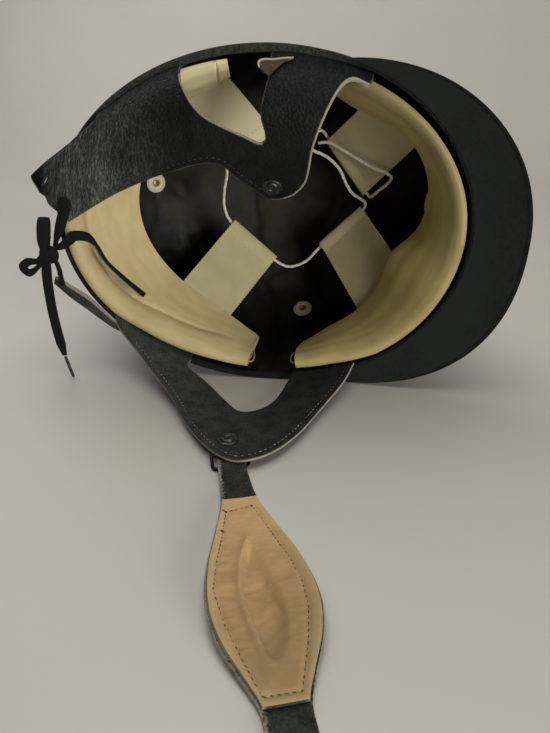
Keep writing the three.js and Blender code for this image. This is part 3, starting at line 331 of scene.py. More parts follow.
rings = []
root_turns = [side * math.acos(values[2] / HALF_LENGTH) for side, values in PEAK_SIDES.items()]
out = np.linspace(0, 1, PEAK_ROWS)
for share in np.linspace(0, 1, PEAK_COLUMNS):
    root_x, root_y = oval(root_turns[0] + (root_turns[1] - root_turns[0]) * share, PEAK_OVERLAP)
    edge_turn = math.pi * (share - 0.5)
    half_width, power, _ = PEAK_SIDES[-1 if edge_turn < 0 else 1]
    reach = abs(math.cos(edge_turn)) ** (2 / power)
    edge_x = PEAK_BACK + PEAK_REACH * reach
    edge_y = math.copysign(half_width * abs(math.sin(edge_turn)) ** (2 / power), edge_turn)
    edge_z = PEAK_SIDE_Z + (PEAK_TIP_Z - PEAK_SIDE_Z) * reach
    x = root_x + (edge_x - root_x) * out
    y = root_y + (edge_y - root_y) * out
    z = PEAK_ROOT_Z + (edge_z - PEAK_ROOT_Z) * out ** 1.2
    half = PEAK_ROOT_HALF + (PEAK_EDGE_HALF - PEAK_ROOT_HALF) * out
    half = half * np.sqrt(np.clip(1 - ((out - 0.97).clip(0) / 0.03) ** 2, 0.02, 1))
    under = np.stack([x, y, z - half], axis=1)
    over = np.stack([x, y, z + half], axis=1)[::-1]
    rings.append(np.vstack([under, over]))
points, faces = skin(to_row(rings))
binding_rows = 2
ring_kinds = [1] * (PEAK_ROWS - 1 - binding_rows) + [0] * (PEAK_ROWS + 1 + binding_rows)
kinds = ring_kinds * (PEAK_COLUMNS - 1) + [0, 0]
add_piece("peak_cover", points, faces, [velvet, lining], kinds, replaces=["peak"])


# Vent eyelets: pressed metal rings set through the holes in the shell and rolled over on both sides. Cream
# enamel covers them, and it is tan inside the roll.
EYELET_SIDES = 48
EYELET_PROFILE = [
    (1.7, 2.6), (1.7, -2.0), (2.1, -2.7), (3.0, -3.2), (4.0, -3.35), (5.0, -3.2), (6.2, -2.8), (6.9, -2.5),
    (7.1, -2.3), (6.9, -2.2), (4.4, -2.2), (4.2, -2.0), (4.2, 1.6), (4.4, 1.8), (6.2, 1.8), (6.3, 1.95),
    (5.8, 2.4),
    (4.4, 2.9), (3.3, 3.1), (2.2, 3.0),
]

# Cream stove enamel: smooth, warm and a little glossy, and tan towards the hole.
enamel, tree = new_material("cream stove enamel")
spot = add_node(tree, "SeparateXYZ", {
    0: add_node(tree, "Attribute", attribute_name="flat").outputs["Vector"]})
place = add_node(tree, "TexCoord").outputs["Object"]
grime = add_node(tree, "TexNoise", {"Vector": place, "Scale": 1000 / 1.5, "Detail": 4.0})
ring = add_node(tree, "Math", {0: spot.outputs["X"], 1: grime}, operation="ADD")
tone = add_node(tree, "MapRange", {"Value": ring, "From Min": 2.7, "From Max": 4.6})
tone = add_node(tree, "ValToRGB", {"Fac": tone},
                stops=[(0.0, "#A0854F"), (0.3, "#BBA36D"), (0.55, "#DCD2AE")])
shader = add_node(tree, "BsdfPrincipled", {"Base Color": tone, "Roughness": 0.38})
add_node(tree, "OutputMaterial", {"Surface": shader})

for name, (angle, height) in VENTS.items():
    centre, axis = vent_place(angle, height)
    points, faces = skin(turned(EYELET_PROFILE, centre, axis, EYELET_SIDES), loop=True)
    radii = np.repeat([r for r, _ in EYELET_PROFILE], EYELET_SIDES)
    flat = np.stack([radii, 0 * radii, 0 * radii], axis=1)
    add_piece(name + "_ring", points, faces, [enamel], flat=flat, replaces=[name])


# Headband: two lengths of soft cream leather against the inside of the rim. The rim side is folded over a
# thin roll of wadding, so it stands proud, and the crown side lies flat. Each end is cut straight across the
# fold.
BAND_RIM_Z = 0.4
BAND_CROWN_Z = 40.0
BAND_STEP = 0.4
BAND_WIDTH = 40
BAND_ARC = 100
BANDS = {
    "headband_rear": {
        "angle": [95.6, 110, 139, 149, 158, 180, 204, 222, 238, 245, 250, 260],
        "inset": [7.4, 7.2, 5.4, 2.6, 2.3, 2.4, 3.4, 4.4, 5.2, 5.6, 5.8, 6.2],
        "radius": [86, 76, 75, 77, 79.5, 83, 80.5, 80.5, 82.5, 82, 82.8, 84.5],
        "fold": [0.47, 0.47, 0.38, 0.33, 0.29, 0.27, 0.3, 0.42, 0.55, 0.8, 0.88, 0.92],
        "slant": [1.4, 0, 0, 0, 0, 0, 0, 0, 0, 0, 1.7, 5],
        "width": [1.06, 1.0, 1.0, 1.0, 1.0, 0.97, 0.92, 0.92, 0.97, 1.04, 1.05, 0.55],
    },
    "headband_front": {
        "angle": [-76, -51, -26, -9, 4, 14, 32, 46, 62, 75.4],
        "inset": [6.0, 5.6, 5.0, 4.2, 4.0, 3.7, 3.0, 2.8, 6.4, 7.2],
        "radius": [84, 83, 99, 101, 95, 84, 86, 87, 87, 91],
        "fold": [0.6, 0.6, 0.62, 0.65, 0.65, 0.62, 0.55, 0.5, 0.5, 0.5],
        "slant": [0, 0, 0, 0, 0, 0, 0, 0, 0, 0],
        "width": [1.0, 1.0, 1.0, 1.0, 1.0, 1.0, 1.0, 1.0, 1.0, 0.93],
    },
}
FOLD_SHARE = [0.0, 0.06, 0.18, 0.34, 0.5, 0.68, 0.84, 0.94, 1.0]
FOLD_LIFT = [2.2, 3.9, 5.4, 6.1, 6.2, 5.7, 4.5, 3.2, 2.4]
SOFT_SHARE = [0.0, 0.03, 0.09, 0.2, 0.36, 0.54, 0.72, 0.88, 1.0]
SOFT_LIFT = [2.2, 3.9, 5.3, 6.1, 6.0, 5.1, 4.0, 2.9, 1.9]
CREASE_FROM = {"headband_rear": (104, 122), "headband_front": (400, 401)}
BAND_TAB = {"angle": -6.0, "half": 3.4, "proud": 0.065}
BAND_PINCH = {"angle": 169.0, "half": 11.0, "share_half": 0.12, "depth": 0.8}
# Where the band is darker in a narrow strip beside the lace, on its rim side.
BAND_DARK_BESIDE_LACE = {"angle": [149.0, 157.9, 165.7, 172.2], "share": [0.42, 0.39, 0.32, 0.28], "beside": 2.2,
               "half": 1.7,
               "fade": [149, 155, 169, 174]}
BAND_SLIT = {"angle": 256.0, "lean": 4.0, "half": 0.34, "depth": 1.6}
BAND_LOOPS = {
    "headband_rear": [(97.6, 0.47), (95.4, 0.45), (94.1, 0.35), (93.5, 0.21), (93.9, 0.08), (96.2, 0.03)],
    "headband_front": [(74.4, 0.5), (76.6, 0.47), (77.7, 0.37), (77.8, 0.23), (76.9, 0.1), (74.8, 0.06)],
}
BAND_CREASE = {"share": 1.04, "half": 0.05, "depth": 0.7}
BAND_END = {"round": 0.1, "over": 2.5}
BAND_FLAT_LIFT = 2.3
BAND_FLAT_FALL = 0.4
BAND_FOLDS = 0.55
BAND_WRINKLES = 0.05
BAND_NARROW_FROM = 0.45
BAND_LOOP_LIFT = 2.6
BAND_LOOP_RADIUS = 0.5
BAND_TUNNEL = [(0.07, 1.6), (0.2, 1.5), (0.36, 1.6), (0.37, 2.6), (0.3, 3.9), (0.2, 4.3), (0.11, 3.6),
               (0.07, 2.4)]
BAND_TUNNEL_FOLD = 0.47


def eased(value, places, heights):
    """Smooth curve through a short table."""
    xs = np.asarray(places, float)
    ys = np.asarray(heights, float)
    slopes = np.gradient(ys, xs)
    v = np.clip(value, xs[0], xs[-1])
    i = np.clip(np.searchsorted(xs, v, side="right") - 1, 0, len(xs) - 2)
    h = xs[i + 1] - xs[i]
    t = (v - xs[i]) / h
    start = (2 * t ** 3 - 3 * t ** 2 + 1) * ys[i] + (t ** 3 - 2 * t ** 2 + t) * h * slopes[i]
    return start + (3 * t ** 2 - 2 * t ** 3) * ys[i + 1] + (t ** 3 - t ** 2) * h * slopes[i + 1]


def unit(ways):
    """The same directions, each with a length of one."""
    return ways / np.linalg.norm(ways, axis=-1, keepdims=True)


def run_along(line):
    """How far along a line each of its points lies."""
    return np.concatenate([[0], np.cumsum(np.linalg.norm(np.diff(line, axis=0), axis=1))])


def flat_grid(run, across):
    """Flat coordinates of a grid of points, from the run along it and the place across it."""
    return np.stack(np.broadcast_arrays(run[:, None], across[None, :], 0.0), axis=-1)


def spline(points, steps, power=0.5):
    """Smooth line through a few points, with that many steps between each two."""
    p = np.asarray(points, float)
    p = np.vstack([2 * p[0] - p[1], p, 2 * p[-1] - p[-2]])
    line = []
    for a, b, c, d in zip(p[:-3], p[1:-2], p[2:-1], p[3:]):
        t1 = np.linalg.norm(b - a) ** power
        t2 = t1 + np.linalg.norm(c - b) ** power
        t3 = t2 + np.linalg.norm(d - c) ** power
        t = np.linspace(t1, t2, steps, endpoint=False)[:, None]
        ab = a + (b - a) * t / t1
        bc = b + (c - b) * (t - t1) / (t2 - t1)
        cd = c + (d - c) * (t - t2) / (t3 - t2)
        abc = ab + (bc - ab) * t / t2
        bcd = bc + (cd - bc) * (t - t1) / (t3 - t1)
        line.append(abc + (bcd - abc) * (t - t1) / (t2 - t1))
    return np.vstack(line + [p[-2:-1]])


def even(line, step):
    """The same line with points about that far apart."""
    along = run_along(line)
    count = max(2, int(round(along[-1] / step)) + 1)
    at = np.linspace(0, along[-1], count)
    return np.stack([np.interp(at, along, line[:, k]) for k in range(line.shape[1])], axis=1)


def frames(line):
    """Direction of a line at each point, and two directions across it that turn as little as they can."""
    way = unit(np.gradient(line, axis=0))
    side = np.array(Vector(way[0]).orthogonal().normalized())
    sides = []
    for t in way:
        side = side - t * (side @ t)
        side /= np.linalg.norm(side)
        sides.append(side)
    sides = np.array(sides)
    return way, sides, np.cross(way, sides)


def round_rings(line, radius, sides, strands=0, lay=1.0):
    """Rings of a round cord along a line in millimetres, lobed by its twisted strands."""
    _, side, other = frames(line)
    run = run_along(line)
    around = np.linspace(0, 2 * math.pi, sides, endpoint=False)
    swell = radius * np.ones((len(line), sides))
    if strands:
        swell *= 1 + 0.09 * np.cos(strands * (around[None, :] - 2 * math.pi * run[:, None] / (strands * lay)))
    circle = side[:, None] * np.cos(around)[None, :, None] + other[:, None] * np.sin(around)[None, :, None]
    flat = flat_grid(run, around * radius)
    return line[:, None] + circle * swell[..., None], flat.reshape(-1, 3)


def band_point(band, angle, share, lift):
    """A point of a headband: angle round the head, share of the width from the rim, lift off its back."""
    angle, share, lift = np.broadcast_arrays(np.asarray(angle, float), share, lift)
    turn = np.radians(angle)
    across = np.stack([np.cos(turn), np.sin(turn), 0 * turn], axis=-1)
    inset = np.interp(angle, band["angle"], band["inset"])
    length = HALF_LENGTH - inset
    reach = length
    for _ in range(4):
        width = (HALF_WIDTH - inset) * (1 + FRONT_WIDENING * reach * across[..., 0] / length)
        reach = 1 / np.hypot(across[..., 0] / length, across[..., 1] / width)
    radius = eased(angle, band["angle"], band["radius"])
    up = np.array([0.0, 0.0, 1.0])
    rim_edge = across * reach[..., None] + up * BAND_RIM_Z
    rise = across * radius[..., None] + up * BAND_CROWN_Z - rim_edge
    way = unit(rise)
    inward = unit(way * (across * way).sum(-1, keepdims=True) - across)
    return rim_edge + rise * share[..., None] + inward * lift[..., None]


# Sheepskin leather, undyed and old: soft and dull, cream and yellower where it was worn. Towards the end of
# the rear band it is painted paler, as painted light where that end lies in shade. Along the front's rim side
# it is painted dark, as painted shade from the peak and rim. Beside the lace it is darker, and it has small
# brown marks.
cream_leather, tree = new_material("undyed sheepskin leather")
place = add_node(tree, "TexCoord").outputs["Object"]
flat = add_node(tree, "Attribute", attribute_name="flat").outputs["Vector"]
stretched = add_node(tree, "Mapping", {"Vector": flat, "Scale": (0.25, 1.0, 1.0)})
streaks = add_node(tree, "TexNoise", {"Vector": stretched, "Scale": 1 / 4.0, "Detail": 3.0})
clouds = add_node(tree, "TexNoise", {"Vector": place, "Scale": 1000 / 30, "Detail": 3.0})
mixed = add_node(tree, "Math", {0: streaks, 1: clouds}, operation="ADD")
halved = add_node(tree, "Math", {0: mixed, 1: 0.5}, operation="MULTIPLY")
tone = add_node(tree, "ValToRGB", {"Fac": halved}, stops=[(0.36, "#B4A06E"), (0.64, "#C5B27F")])
round_head = add_node(tree, "SeparateXYZ", {0: flat})
# Painted light: the end of the rear band is painted paler where it lies in shade.
painted_light_at_end = add_node(tree, "MapRange", {
    "Value": round_head.outputs["X"], "From Min": 405.0, "From Max": 425.0, "To Max": 0.85})
in_front = add_node(tree, "MapRange", {
    "Value": round_head.outputs["X"], "From Min": 140.0, "From Max": 160.0, "To Min": 1.0, "To Max": 0.0})
tone = add_node(tree, "Mix", {0: in_front, 6: tone, 7: (1.0, 1.0, 0.76, 1.0)},
                data_type="RGBA", blend_type="MULTIPLY")
tone = add_node(tree, "Mix", {0: painted_light_at_end, 6: tone, 7: linear("#EADDB0")}, data_type="RGBA")
rim_side = add_node(tree, "MapRange", {
    "Value": round_head.outputs["Y"], "From Min": 3.0, "From Max": 15.0, "To Min": 1.0, "To Max": 0.0})
# Painted shade: the front band is darkened along its rim side, where the peak and rim shade it.
painted_rim_shade = add_node(tree, "MapRange", {
    "Value": round_head.outputs["X"], "From Min": -130.0, "From Max": 145.0, "To Min": 0.74, "To Max": 0.05})
painted_rim_shade = add_node(tree, "Math", {0: painted_rim_shade, 1: in_front}, operation="MULTIPLY")
painted_rim_shade = add_node(tree, "Math", {0: painted_rim_shade, 1: rim_side}, operation="MULTIPLY")
tone = add_node(tree, "Mix", {0: painted_rim_shade, 6: tone, 7: (0.1, 0.1, 0.2, 1.0)},
                data_type="RGBA", blend_type="MULTIPLY")
# Darker in a narrow strip beside the lace.
smudge = add_node(tree, "Attribute", attribute_name="smudge").outputs["Fac"]
darkened_beside_lace = add_node(tree, "Math", {0: smudge, 1: 0.7}, operation="MULTIPLY")
tone = add_node(tree, "Mix", {0: darkened_beside_lace, 6: tone, 7: linear("#4A3F28")}, data_type="RGBA")
marks = add_node(tree, "TexVoronoi", {"Vector": place, "Scale": 1000 / 11})
small = add_node(tree, "MapRange", {
    "Value": marks, "From Min": 0.02, "From Max": 0.05, "To Min": 0.45, "To Max": 0.0})
spots = add_node(tree, "Mix", {0: small, 6: tone, 7: linear("#6E5227")}, data_type="RGBA")
grain = add_node(tree, "TexNoise", {"Vector": place, "Scale": 1000 / 0.9, "Detail": 3.0})
bump = add_node(tree, "Bump", {"Height": grain, "Strength": 0.18, "Distance": 0.0002})
crease = add_node(tree, "Bump", {"Height": streaks, "Strength": 0.15, "Distance": 0.0006, "Normal": bump})
shader = add_node(tree, "BsdfPrincipled", {
    "Base Color": spots, "Roughness": 0.6, "Sheen Weight": 0.08, "Normal": crease})
add_node(tree, "OutputMaterial", {"Surface": shader})

back_shares = np.linspace(0.02, 1.0, 10)
edge_shares = [1.004, 1.004]
edge_lifts = (0.5, 1.4)
front_shares = np.linspace(1.0, 0.0, 46)
front_from = len(back_shares) + len(edge_shares)
shares = np.concatenate([back_shares, edge_shares, front_shares])
for name, band in BANDS.items():
    angles = np.arange(band["angle"][0], band["angle"][-1] + BAND_STEP / 2, BAND_STEP)
    angles[-1] = band["angle"][-1]
    fold = eased(angles, band["angle"], band["fold"])[:, None]
    share = front_shares[None, :] / fold
    past_fold = BAND_FLAT_LIFT - BAND_FLAT_FALL * (front_shares - fold) / (1 - fold)
    lift = np.where(share < 1, eased(share, FOLD_SHARE, FOLD_LIFT), past_fold)
    off = (share - BAND_CREASE["share"]) / BAND_CREASE["half"]
    lift = lift - BAND_CREASE["depth"] * np.exp(-(off ** 2))
    off = (angles[:, None] - BAND_PINCH["angle"]) / BAND_PINCH["half"]
    lift = lift - BAND_PINCH["depth"] * np.exp(-(off ** 2 + ((share - 1.0) / BAND_PINCH["share_half"]) ** 2))
    creased = np.clip((angles - CREASE_FROM[name][0]) / np.diff(CREASE_FROM[name]), 0, 1)[:, None]
    lift = lift * creased + eased(front_shares, SOFT_SHARE, SOFT_LIFT)[None, :] * (1 - creased)
    back_lifts = np.tile([*np.zeros(len(back_shares)), *edge_lifts], (len(angles), 1))
    lifts = np.concatenate([back_lifts, lift], axis=1)
    front_flat = flat_grid(np.radians(angles) * BAND_ARC, BAND_WIDTH * shares)
    folds = lumps((front_flat * (0.16, 1, 1)).reshape(-1, 3), 8.0, 3.0).reshape(lifts.shape)
    fine = lumps((front_flat * (0.3, 1, 1)).reshape(-1, 3), 3.4, 4.0).reshape(lifts.shape)
    soft = np.sin(np.pi * front_shares.clip(0.02, 0.98)) ** 0.5
    lifts[:, front_from:] += (BAND_FOLDS * folds + BAND_WRINKLES * fine)[:, front_from:] * soft
    if name == "headband_rear":
        off = (angles[:, None] - BAND_SLIT["angle"] + BAND_SLIT["lean"] * front_shares) / BAND_SLIT["half"]
        slit = BAND_SLIT["depth"] * np.exp(-off ** 2)
        lifts[:, front_from:] -= slit * np.clip((0.95 - front_shares) / 0.1, 0, 1)
    reach = np.ones(len(angles))
    if name == "headband_front":
        off = (angles - BAND_TAB["angle"]) / BAND_TAB["half"]
        reach = 1 + BAND_TAB["proud"] * np.sqrt(np.clip(1 - off ** 2, 0, 1))
    from_end = np.minimum(angles - angles[0], angles[-1] - angles)
    rounded = 1 - BAND_END["round"] * np.clip(1 - from_end / BAND_END["over"], 0, 1) ** 2
    narrow = rounded * np.interp(angles, band["angle"], band["width"])
    stretch = shares[None, :] * (1 + (reach[:, None] - 1) * (shares[None, :] > 0.9))
    less = (narrow[:, None] - BAND_NARROW_FROM) / (1 - BAND_NARROW_FROM)
    narrowed = BAND_NARROW_FROM + (stretch - BAND_NARROW_FROM) * less
    stretch = np.where(shares > BAND_NARROW_FROM, narrowed, stretch)
    slant = np.interp(angles, band["angle"], band["slant"])[:, None]
    outer = to_row(band_point(band, angles[:, None] - slant * stretch, stretch, lifts))
    tunnel_shares = np.array([s for s, _ in BAND_TUNNEL])[None, :]
    tunnel_lifts = np.array([h for _, h in BAND_TUNNEL])[None, :]
    tunnel_shares = tunnel_shares * np.minimum(fold / BAND_TUNNEL_FOLD, 1)
    hole = to_row(band_point(band, angles[:, None] - slant * tunnel_shares, tunnel_shares, tunnel_lifts))
    points, faces = skin(outer)
    bore_points, bore_faces = skin(hole[:, ::-1])
    faces = faces[:-2] + [tuple(i + len(points) for i in face) for face in bore_faces[:-2]]
    section = [Vector((s * BAND_WIDTH, h)) for s, h in [*zip(shares, lifts[0]), *BAND_TUNNEL[::-1]]]
    edge_count = len(shares)
    links = [(i, (i + 1) % edge_count) for i in range(edge_count)]
    links += [(edge_count + i, edge_count + (i + 1) % len(BAND_TUNNEL)) for i in range(len(BAND_TUNNEL))]
    cap = delaunay_2d_cdt(section, links, [], 3, 1e-7)[2]
    for station in (0, len(angles) - 1):
        index = [station * edge_count + i for i in range(edge_count)]
        index += [len(points) + station * len(BAND_TUNNEL) + i for i in range(len(BAND_TUNNEL))]
        faces += [tuple(index[i] for i in (face if station else face[::-1])) for face in cap]
    loop_angles, loop_shares = np.array(BAND_LOOPS[name]).T
    loop_line = even(spline(band_point(band, loop_angles, loop_shares, BAND_LOOP_LIFT), 8), 0.6)
    loop_points, loop_faces = skin(to_row(round_rings(loop_line, BAND_LOOP_RADIUS, 10)[0]))
    faces += [tuple(i + len(points) + len(bore_points) for i in face) for face in loop_faces]
    flat = np.vstack([front_flat.reshape(-1, 3), np.zeros((len(bore_points) + len(loop_points), 3))])
    # A narrow strip beside the lace, on its rim side, is darker.
    lace_at = BAND_WIDTH * np.interp(angles, BAND_DARK_BESIDE_LACE["angle"], BAND_DARK_BESIDE_LACE["share"])
    beside = front_flat[..., 1] - lace_at[:, None] + BAND_DARK_BESIDE_LACE["beside"]
    smudge = np.exp(-((beside / BAND_DARK_BESIDE_LACE["half"]) ** 2))
    smudge *= np.interp(angles, BAND_DARK_BESIDE_LACE["fade"], [0, 1, 1, 0])[:, None]
    smudge = np.concatenate([smudge.ravel(), np.zeros(len(bore_points) + len(loop_points))])
    piece = add_piece(name + "_leather", np.vstack([points, bore_points, loop_points]), faces,
                      [cream_leather], flat=flat,
                      marks={"smudge": smudge}, sharp=60, replaces=[name])


# Crown cradle tapes: four lengths of cotton webbing with fine ribs across, sewn behind the headband's crown
# edge. The other end of each is turned back round the drawstring and sewn down.
CRADLE_Z = 86.0
TAPE_HALF = 0.5
TAPE_BEHIND = -1.6
TAPE_BASE_SHARE = 0.72
TAPE_RIB = 1.25
TAPE_RIB_HEIGHT = 0.07
TAPE_STEP = 0.31
TAPE_STITCHES_AT = 9.0
TAPES = {
    "tape_rear_left": ("headband_rear", (141, 111), ((-31.6, 16.9), (-1.4, 42.8))),
    "tape_front_left": ("headband_front", (46, 16), ((32.5, 31.4), (59.8, 5.0))),
    "tape_front_right": ("headband_front", (-26, -49), ((61.6, -6.6), (35.1, -40.8))),
    "tape_rear_right": ("headband_rear", (253, 226), ((-3.5, -46.6), (-31.4, -25.8))),
}
# Share of painted light on a tape that lies in shade.
TAPE_PAINTED_LIGHT = {"tape_rear_right": 0.8}
TAPE_TURN = [(14, 0.0), (10, 0.05), (6.5, 0.45), (3.4, 1.55), (1.2, 2.2), (-0.9, 2.2), (-2.2, 1.0),
             (-2.35, -0.6),
             (-1.2, -2.0), (0.9, -2.3), (3.2, -1.9), (6.2, -1.45), (9, -1.35), (12.5, -1.35)]


def slab(grid, half):
    """Closed sheet about a grid of points, with half its thickness at each point, in millimetres."""
    down, across = np.gradient(grid, axis=(0, 1))
    normal = unit(np.cross(down, across))
    rows, columns = grid.shape[:2]
    half = np.broadcast_to(half, (rows, columns))[..., None] / 1000
    points = np.vstack([(grid + normal * half).reshape(-1, 3), (grid - normal * half).reshape(-1, 3)])
    back = rows * columns
    at = np.arange(back).reshape(rows, columns)
    a, b, c, d = at[:-1, :-1].ravel(), at[:-1, 1:].ravel(), at[1:, 1:].ravel(), at[1:, :-1].ravel()
    faces = [*zip(d, c, b, a)] + [*zip(a + back, b + back, c + back, d + back)]
    border = np.concatenate([at[0, :-1], at[:-1, -1], at[-1, :0:-1], at[:0:-1, 0]])
    after = np.roll(border, -1)
    faces += [*zip(border, after, after + back, border + back)]
    return points, [tuple(int(i) for i in face) for face in faces], normal


# Cotton webbing: matt, greyed cream yarn in ribs across the tape, darkened a little by handling. The upper
# rear tape, which the harness covers, is painted paler, as painted light where it lies in shade.
webbing, tree = new_material("ribbed cotton webbing")
flat = add_node(tree, "Attribute", attribute_name="flat").outputs["Vector"]
place = add_node(tree, "TexCoord").outputs["Object"]
soil = add_node(tree, "TexNoise", {"Vector": place, "Scale": 1000 / 14, "Detail": 5.0})
yarn = add_node(tree, "TexWave", {
    "Vector": flat, "Scale": math.pi / 10 / TAPE_RIB, "Distortion": 0.3}, bands_direction="X")
across = add_node(tree, "TexWave", {
    "Vector": flat, "Scale": math.pi / 10 / 0.9, "Distortion": 0.6, "Detail Scale": 2.0}, bands_direction="Y")
weave = add_node(tree, "Math", {0: yarn.outputs["Fac"], 1: across.outputs["Fac"]}, operation="MULTIPLY")
shade = add_node(tree, "Math", {0: soil, 1: weave}, operation="ADD")
tone = add_node(tree, "ValToRGB", {"Fac": shade},
                stops=[(0.3, "#A49971"), (0.75, "#B3A97F"), (1.0, "#BFB48A")])
# Painted light: paler where a tape lies in shade.
clean = add_node(tree, "Attribute", attribute_name="clean").outputs["Fac"]
tone = add_node(tree, "Mix", {0: clean, 6: tone, 7: linear("#D3CAA5")}, data_type="RGBA")
bump = add_node(tree, "Bump", {"Height": weave, "Strength": 0.3, "Distance": 0.0002})
shader = add_node(tree, "BsdfPrincipled", {
    "Base Color": tone, "Roughness": 0.95, "Sheen Weight": 0.06, "Normal": bump})
add_node(tree, "OutputMaterial", {"Surface": shader})

tape_seams = []
turn_line = even(spline(TAPE_TURN, 8), TAPE_STEP)
across_share = np.linspace(0, 1, 31)
for name, (band_name, base, end) in TAPES.items():
    band = BANDS[band_name]
    angles = base[0] + (base[1] - base[0]) * across_share
    low = to_row(band_point(band, angles, TAPE_BASE_SHARE, TAPE_BEHIND))
    edge = to_row(band_point(band, angles, 1.03, TAPE_BEHIND))
    corner_a, corner_b = (to_row([x, y, CRADLE_Z]) for x, y in end)
    centre = corner_a + (corner_b - corner_a) * across_share[:, None]
    to_base = edge - centre
    length = np.linalg.norm(to_base, axis=1)
    to_base /= length[:, None]
    facing = np.cross(corner_b - corner_a, to_base[len(to_base) // 2])
    facing /= np.linalg.norm(facing)
    facing *= -math.copysign(1, facing[1])
    grid = [low + (edge - low) * s for s in np.linspace(0, 0.9, 6)]
    straight = np.linspace(1, 0, int(1000 * length.mean() / TAPE_STEP))[:-1]
    grid += [centre + to_base * (0.014 + (length - 0.014) * s)[:, None] for s in straight]
    grid += [centre + (to_base * u + facing * w) / 1000 for u, w in turn_line]
    grid = np.array(grid)
    run = run_along(grid[:, len(angles) // 2]) * 1000
    wide = np.linalg.norm(grid[:, -1] - grid[:, 0], axis=1).mean()
    sideways = (corner_b - corner_a) / np.linalg.norm(corner_b - corner_a)
    teeth = 0.00022 * np.cos(2 * math.pi * run / 2.4)[:, None]
    grid[:, 0] -= sideways * teeth
    grid[:, -1] += sideways * teeth
    ribs = TAPE_HALF + TAPE_RIB_HEIGHT * np.cos(2 * math.pi * run / TAPE_RIB)
    points, faces, normal = slab(grid, ribs[:, None])
    flat = flat_grid(run, 1000 * wide * across_share).reshape(-1, 3)
    # Painted light for the tape that lies in shade.
    clean = np.full(len(points), TAPE_PAINTED_LIGHT.get(name, 0.0))
    piece = add_piece(name + "_webbing", points, faces, [webbing], flat=np.vstack([flat, flat]),
                      marks={"clean": clean}, sharp=70,
                      replaces=[name])
    seam = centre + (to_base * TAPE_STITCHES_AT + facing * (0.25 + TAPE_HALF + TAPE_RIB_HEIGHT)) / 1000
    tape_seams.append(seam[4:-4])


# Seams: rows of thread laid along each sewn line. Every stitch is one short rounded length of thread, set
# along its seam by a node tree that is shared by all the sewn pieces.
seam_tree = bpy.data.node_groups.new("running_stitch", "GeometryNodeTree")
seam_tree.interface.new_socket("Geometry", in_out="INPUT", socket_type="NodeSocketGeometry")
for name, kind in (("Stitch length", "Float"), ("Stitch pitch", "Float"), ("Thread radius", "Float"),
                   ("Seed", "Int"),
                   ("Thread", "Material")):
    seam_tree.interface.new_socket(name, in_out="INPUT", socket_type="NodeSocket" + kind)
seam_tree.interface.new_socket("Geometry", in_out="OUTPUT", socket_type="NodeSocketGeometry")
given = add_node(seam_tree, "NodeGroupInput")
line = add_node(seam_tree, "GeometryNodeMeshToCurve", {"Mesh": given.outputs["Geometry"]})
spots = add_node(seam_tree, "GeometryNodeCurveToPoints", {
    "Curve": line.outputs["Curve"], "Length": given.outputs["Stitch pitch"]}, mode="LENGTH")
ball = add_node(seam_tree, "GeometryNodeMeshUVSphere", {"Segments": 6, "Rings": 5, "Radius": 1.0})
half = add_node(seam_tree, "Math", {0: given.outputs["Stitch length"], 1: 0.5}, operation="MULTIPLY")
uneven = add_node(seam_tree, "FunctionNodeRandomValue",
                  {"Min": 0.55, "Max": 1.15, "Seed": given.outputs["Seed"]},
                  data_type="FLOAT")
reach = add_node(seam_tree, "Math", {0: half, 1: uneven.outputs[1]}, operation="MULTIPLY")
size = add_node(seam_tree, "CombineXYZ", {
    "X": given.outputs["Thread radius"], "Y": given.outputs["Thread radius"], "Z": reach})
wobble = add_node(seam_tree, "FunctionNodeRandomValue", {
    "Min": (-0.25, -0.25, -0.25), "Max": (0.25, 0.25, 0.25),
    "Seed": given.outputs["Seed"]}, data_type="FLOAT_VECTOR")
way = add_node(seam_tree, "VectorMath", {0: spots.outputs["Tangent"], 1: wobble.outputs[0]}, operation="ADD")
turn = add_node(seam_tree, "FunctionNodeAlignRotationToVector", {"Vector": way}, axis="Z")
laid = add_node(seam_tree, "GeometryNodeInstanceOnPoints", {
    "Points": spots.outputs["Points"], "Instance": ball.outputs["Mesh"], "Rotation": turn.outputs[0],
    "Scale": size.outputs[0]})
real = add_node(seam_tree, "GeometryNodeRealizeInstances", {"Geometry": laid.outputs[0]})
dyed = add_node(seam_tree, "GeometryNodeSetMaterial", {
    "Geometry": real.outputs[0], "Material": given.outputs["Thread"]})
add_node(seam_tree, "NodeGroupOutput", {"Geometry": dyed.outputs[0]})
SEAM_INPUTS = {item.name: item.identifier
               for item in seam_tree.interface.items_tree if item.in_out == "INPUT"}


def sew(name, seams, thread, length, pitch, radius):
    """One piece with the stitches of some seams, each a line in the row frame. Sizes are in millimetres."""
    points = np.vstack(seams)
    counts = np.cumsum([0] + [len(seam) for seam in seams])
    edges = [(i, i + 1) for a, b in zip(counts[:-1], counts[1:]) for i in range(a, b - 1)]
    guide_mesh = bpy.data.meshes.new(name)
    guide_mesh.from_pydata(points.tolist(), edges, [])
    piece = bpy.data.objects.new(name, guide_mesh)
    bpy.context.scene.collection.objects.link(piece)
    maker = piece.modifiers.new("stitches", "NODES")
    maker.node_group = seam_tree
    values = {"Stitch length": length / 1000, "Stitch pitch": pitch / 1000, "Thread radius": radius / 1000,
              "Seed": 7,
              "Thread": thread}
    for key, value in values.items():
        maker[SEAM_INPUTS[key]] = value
    bpy.context.view_layer.update()
    piece.data = bpy.data.meshes.new_from_object(piece.evaluated_get(bpy.context.evaluated_depsgraph_get()))
    piece.modifiers.remove(maker)
    piece.data.shade_smooth()
    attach(piece, "root")
    return piece


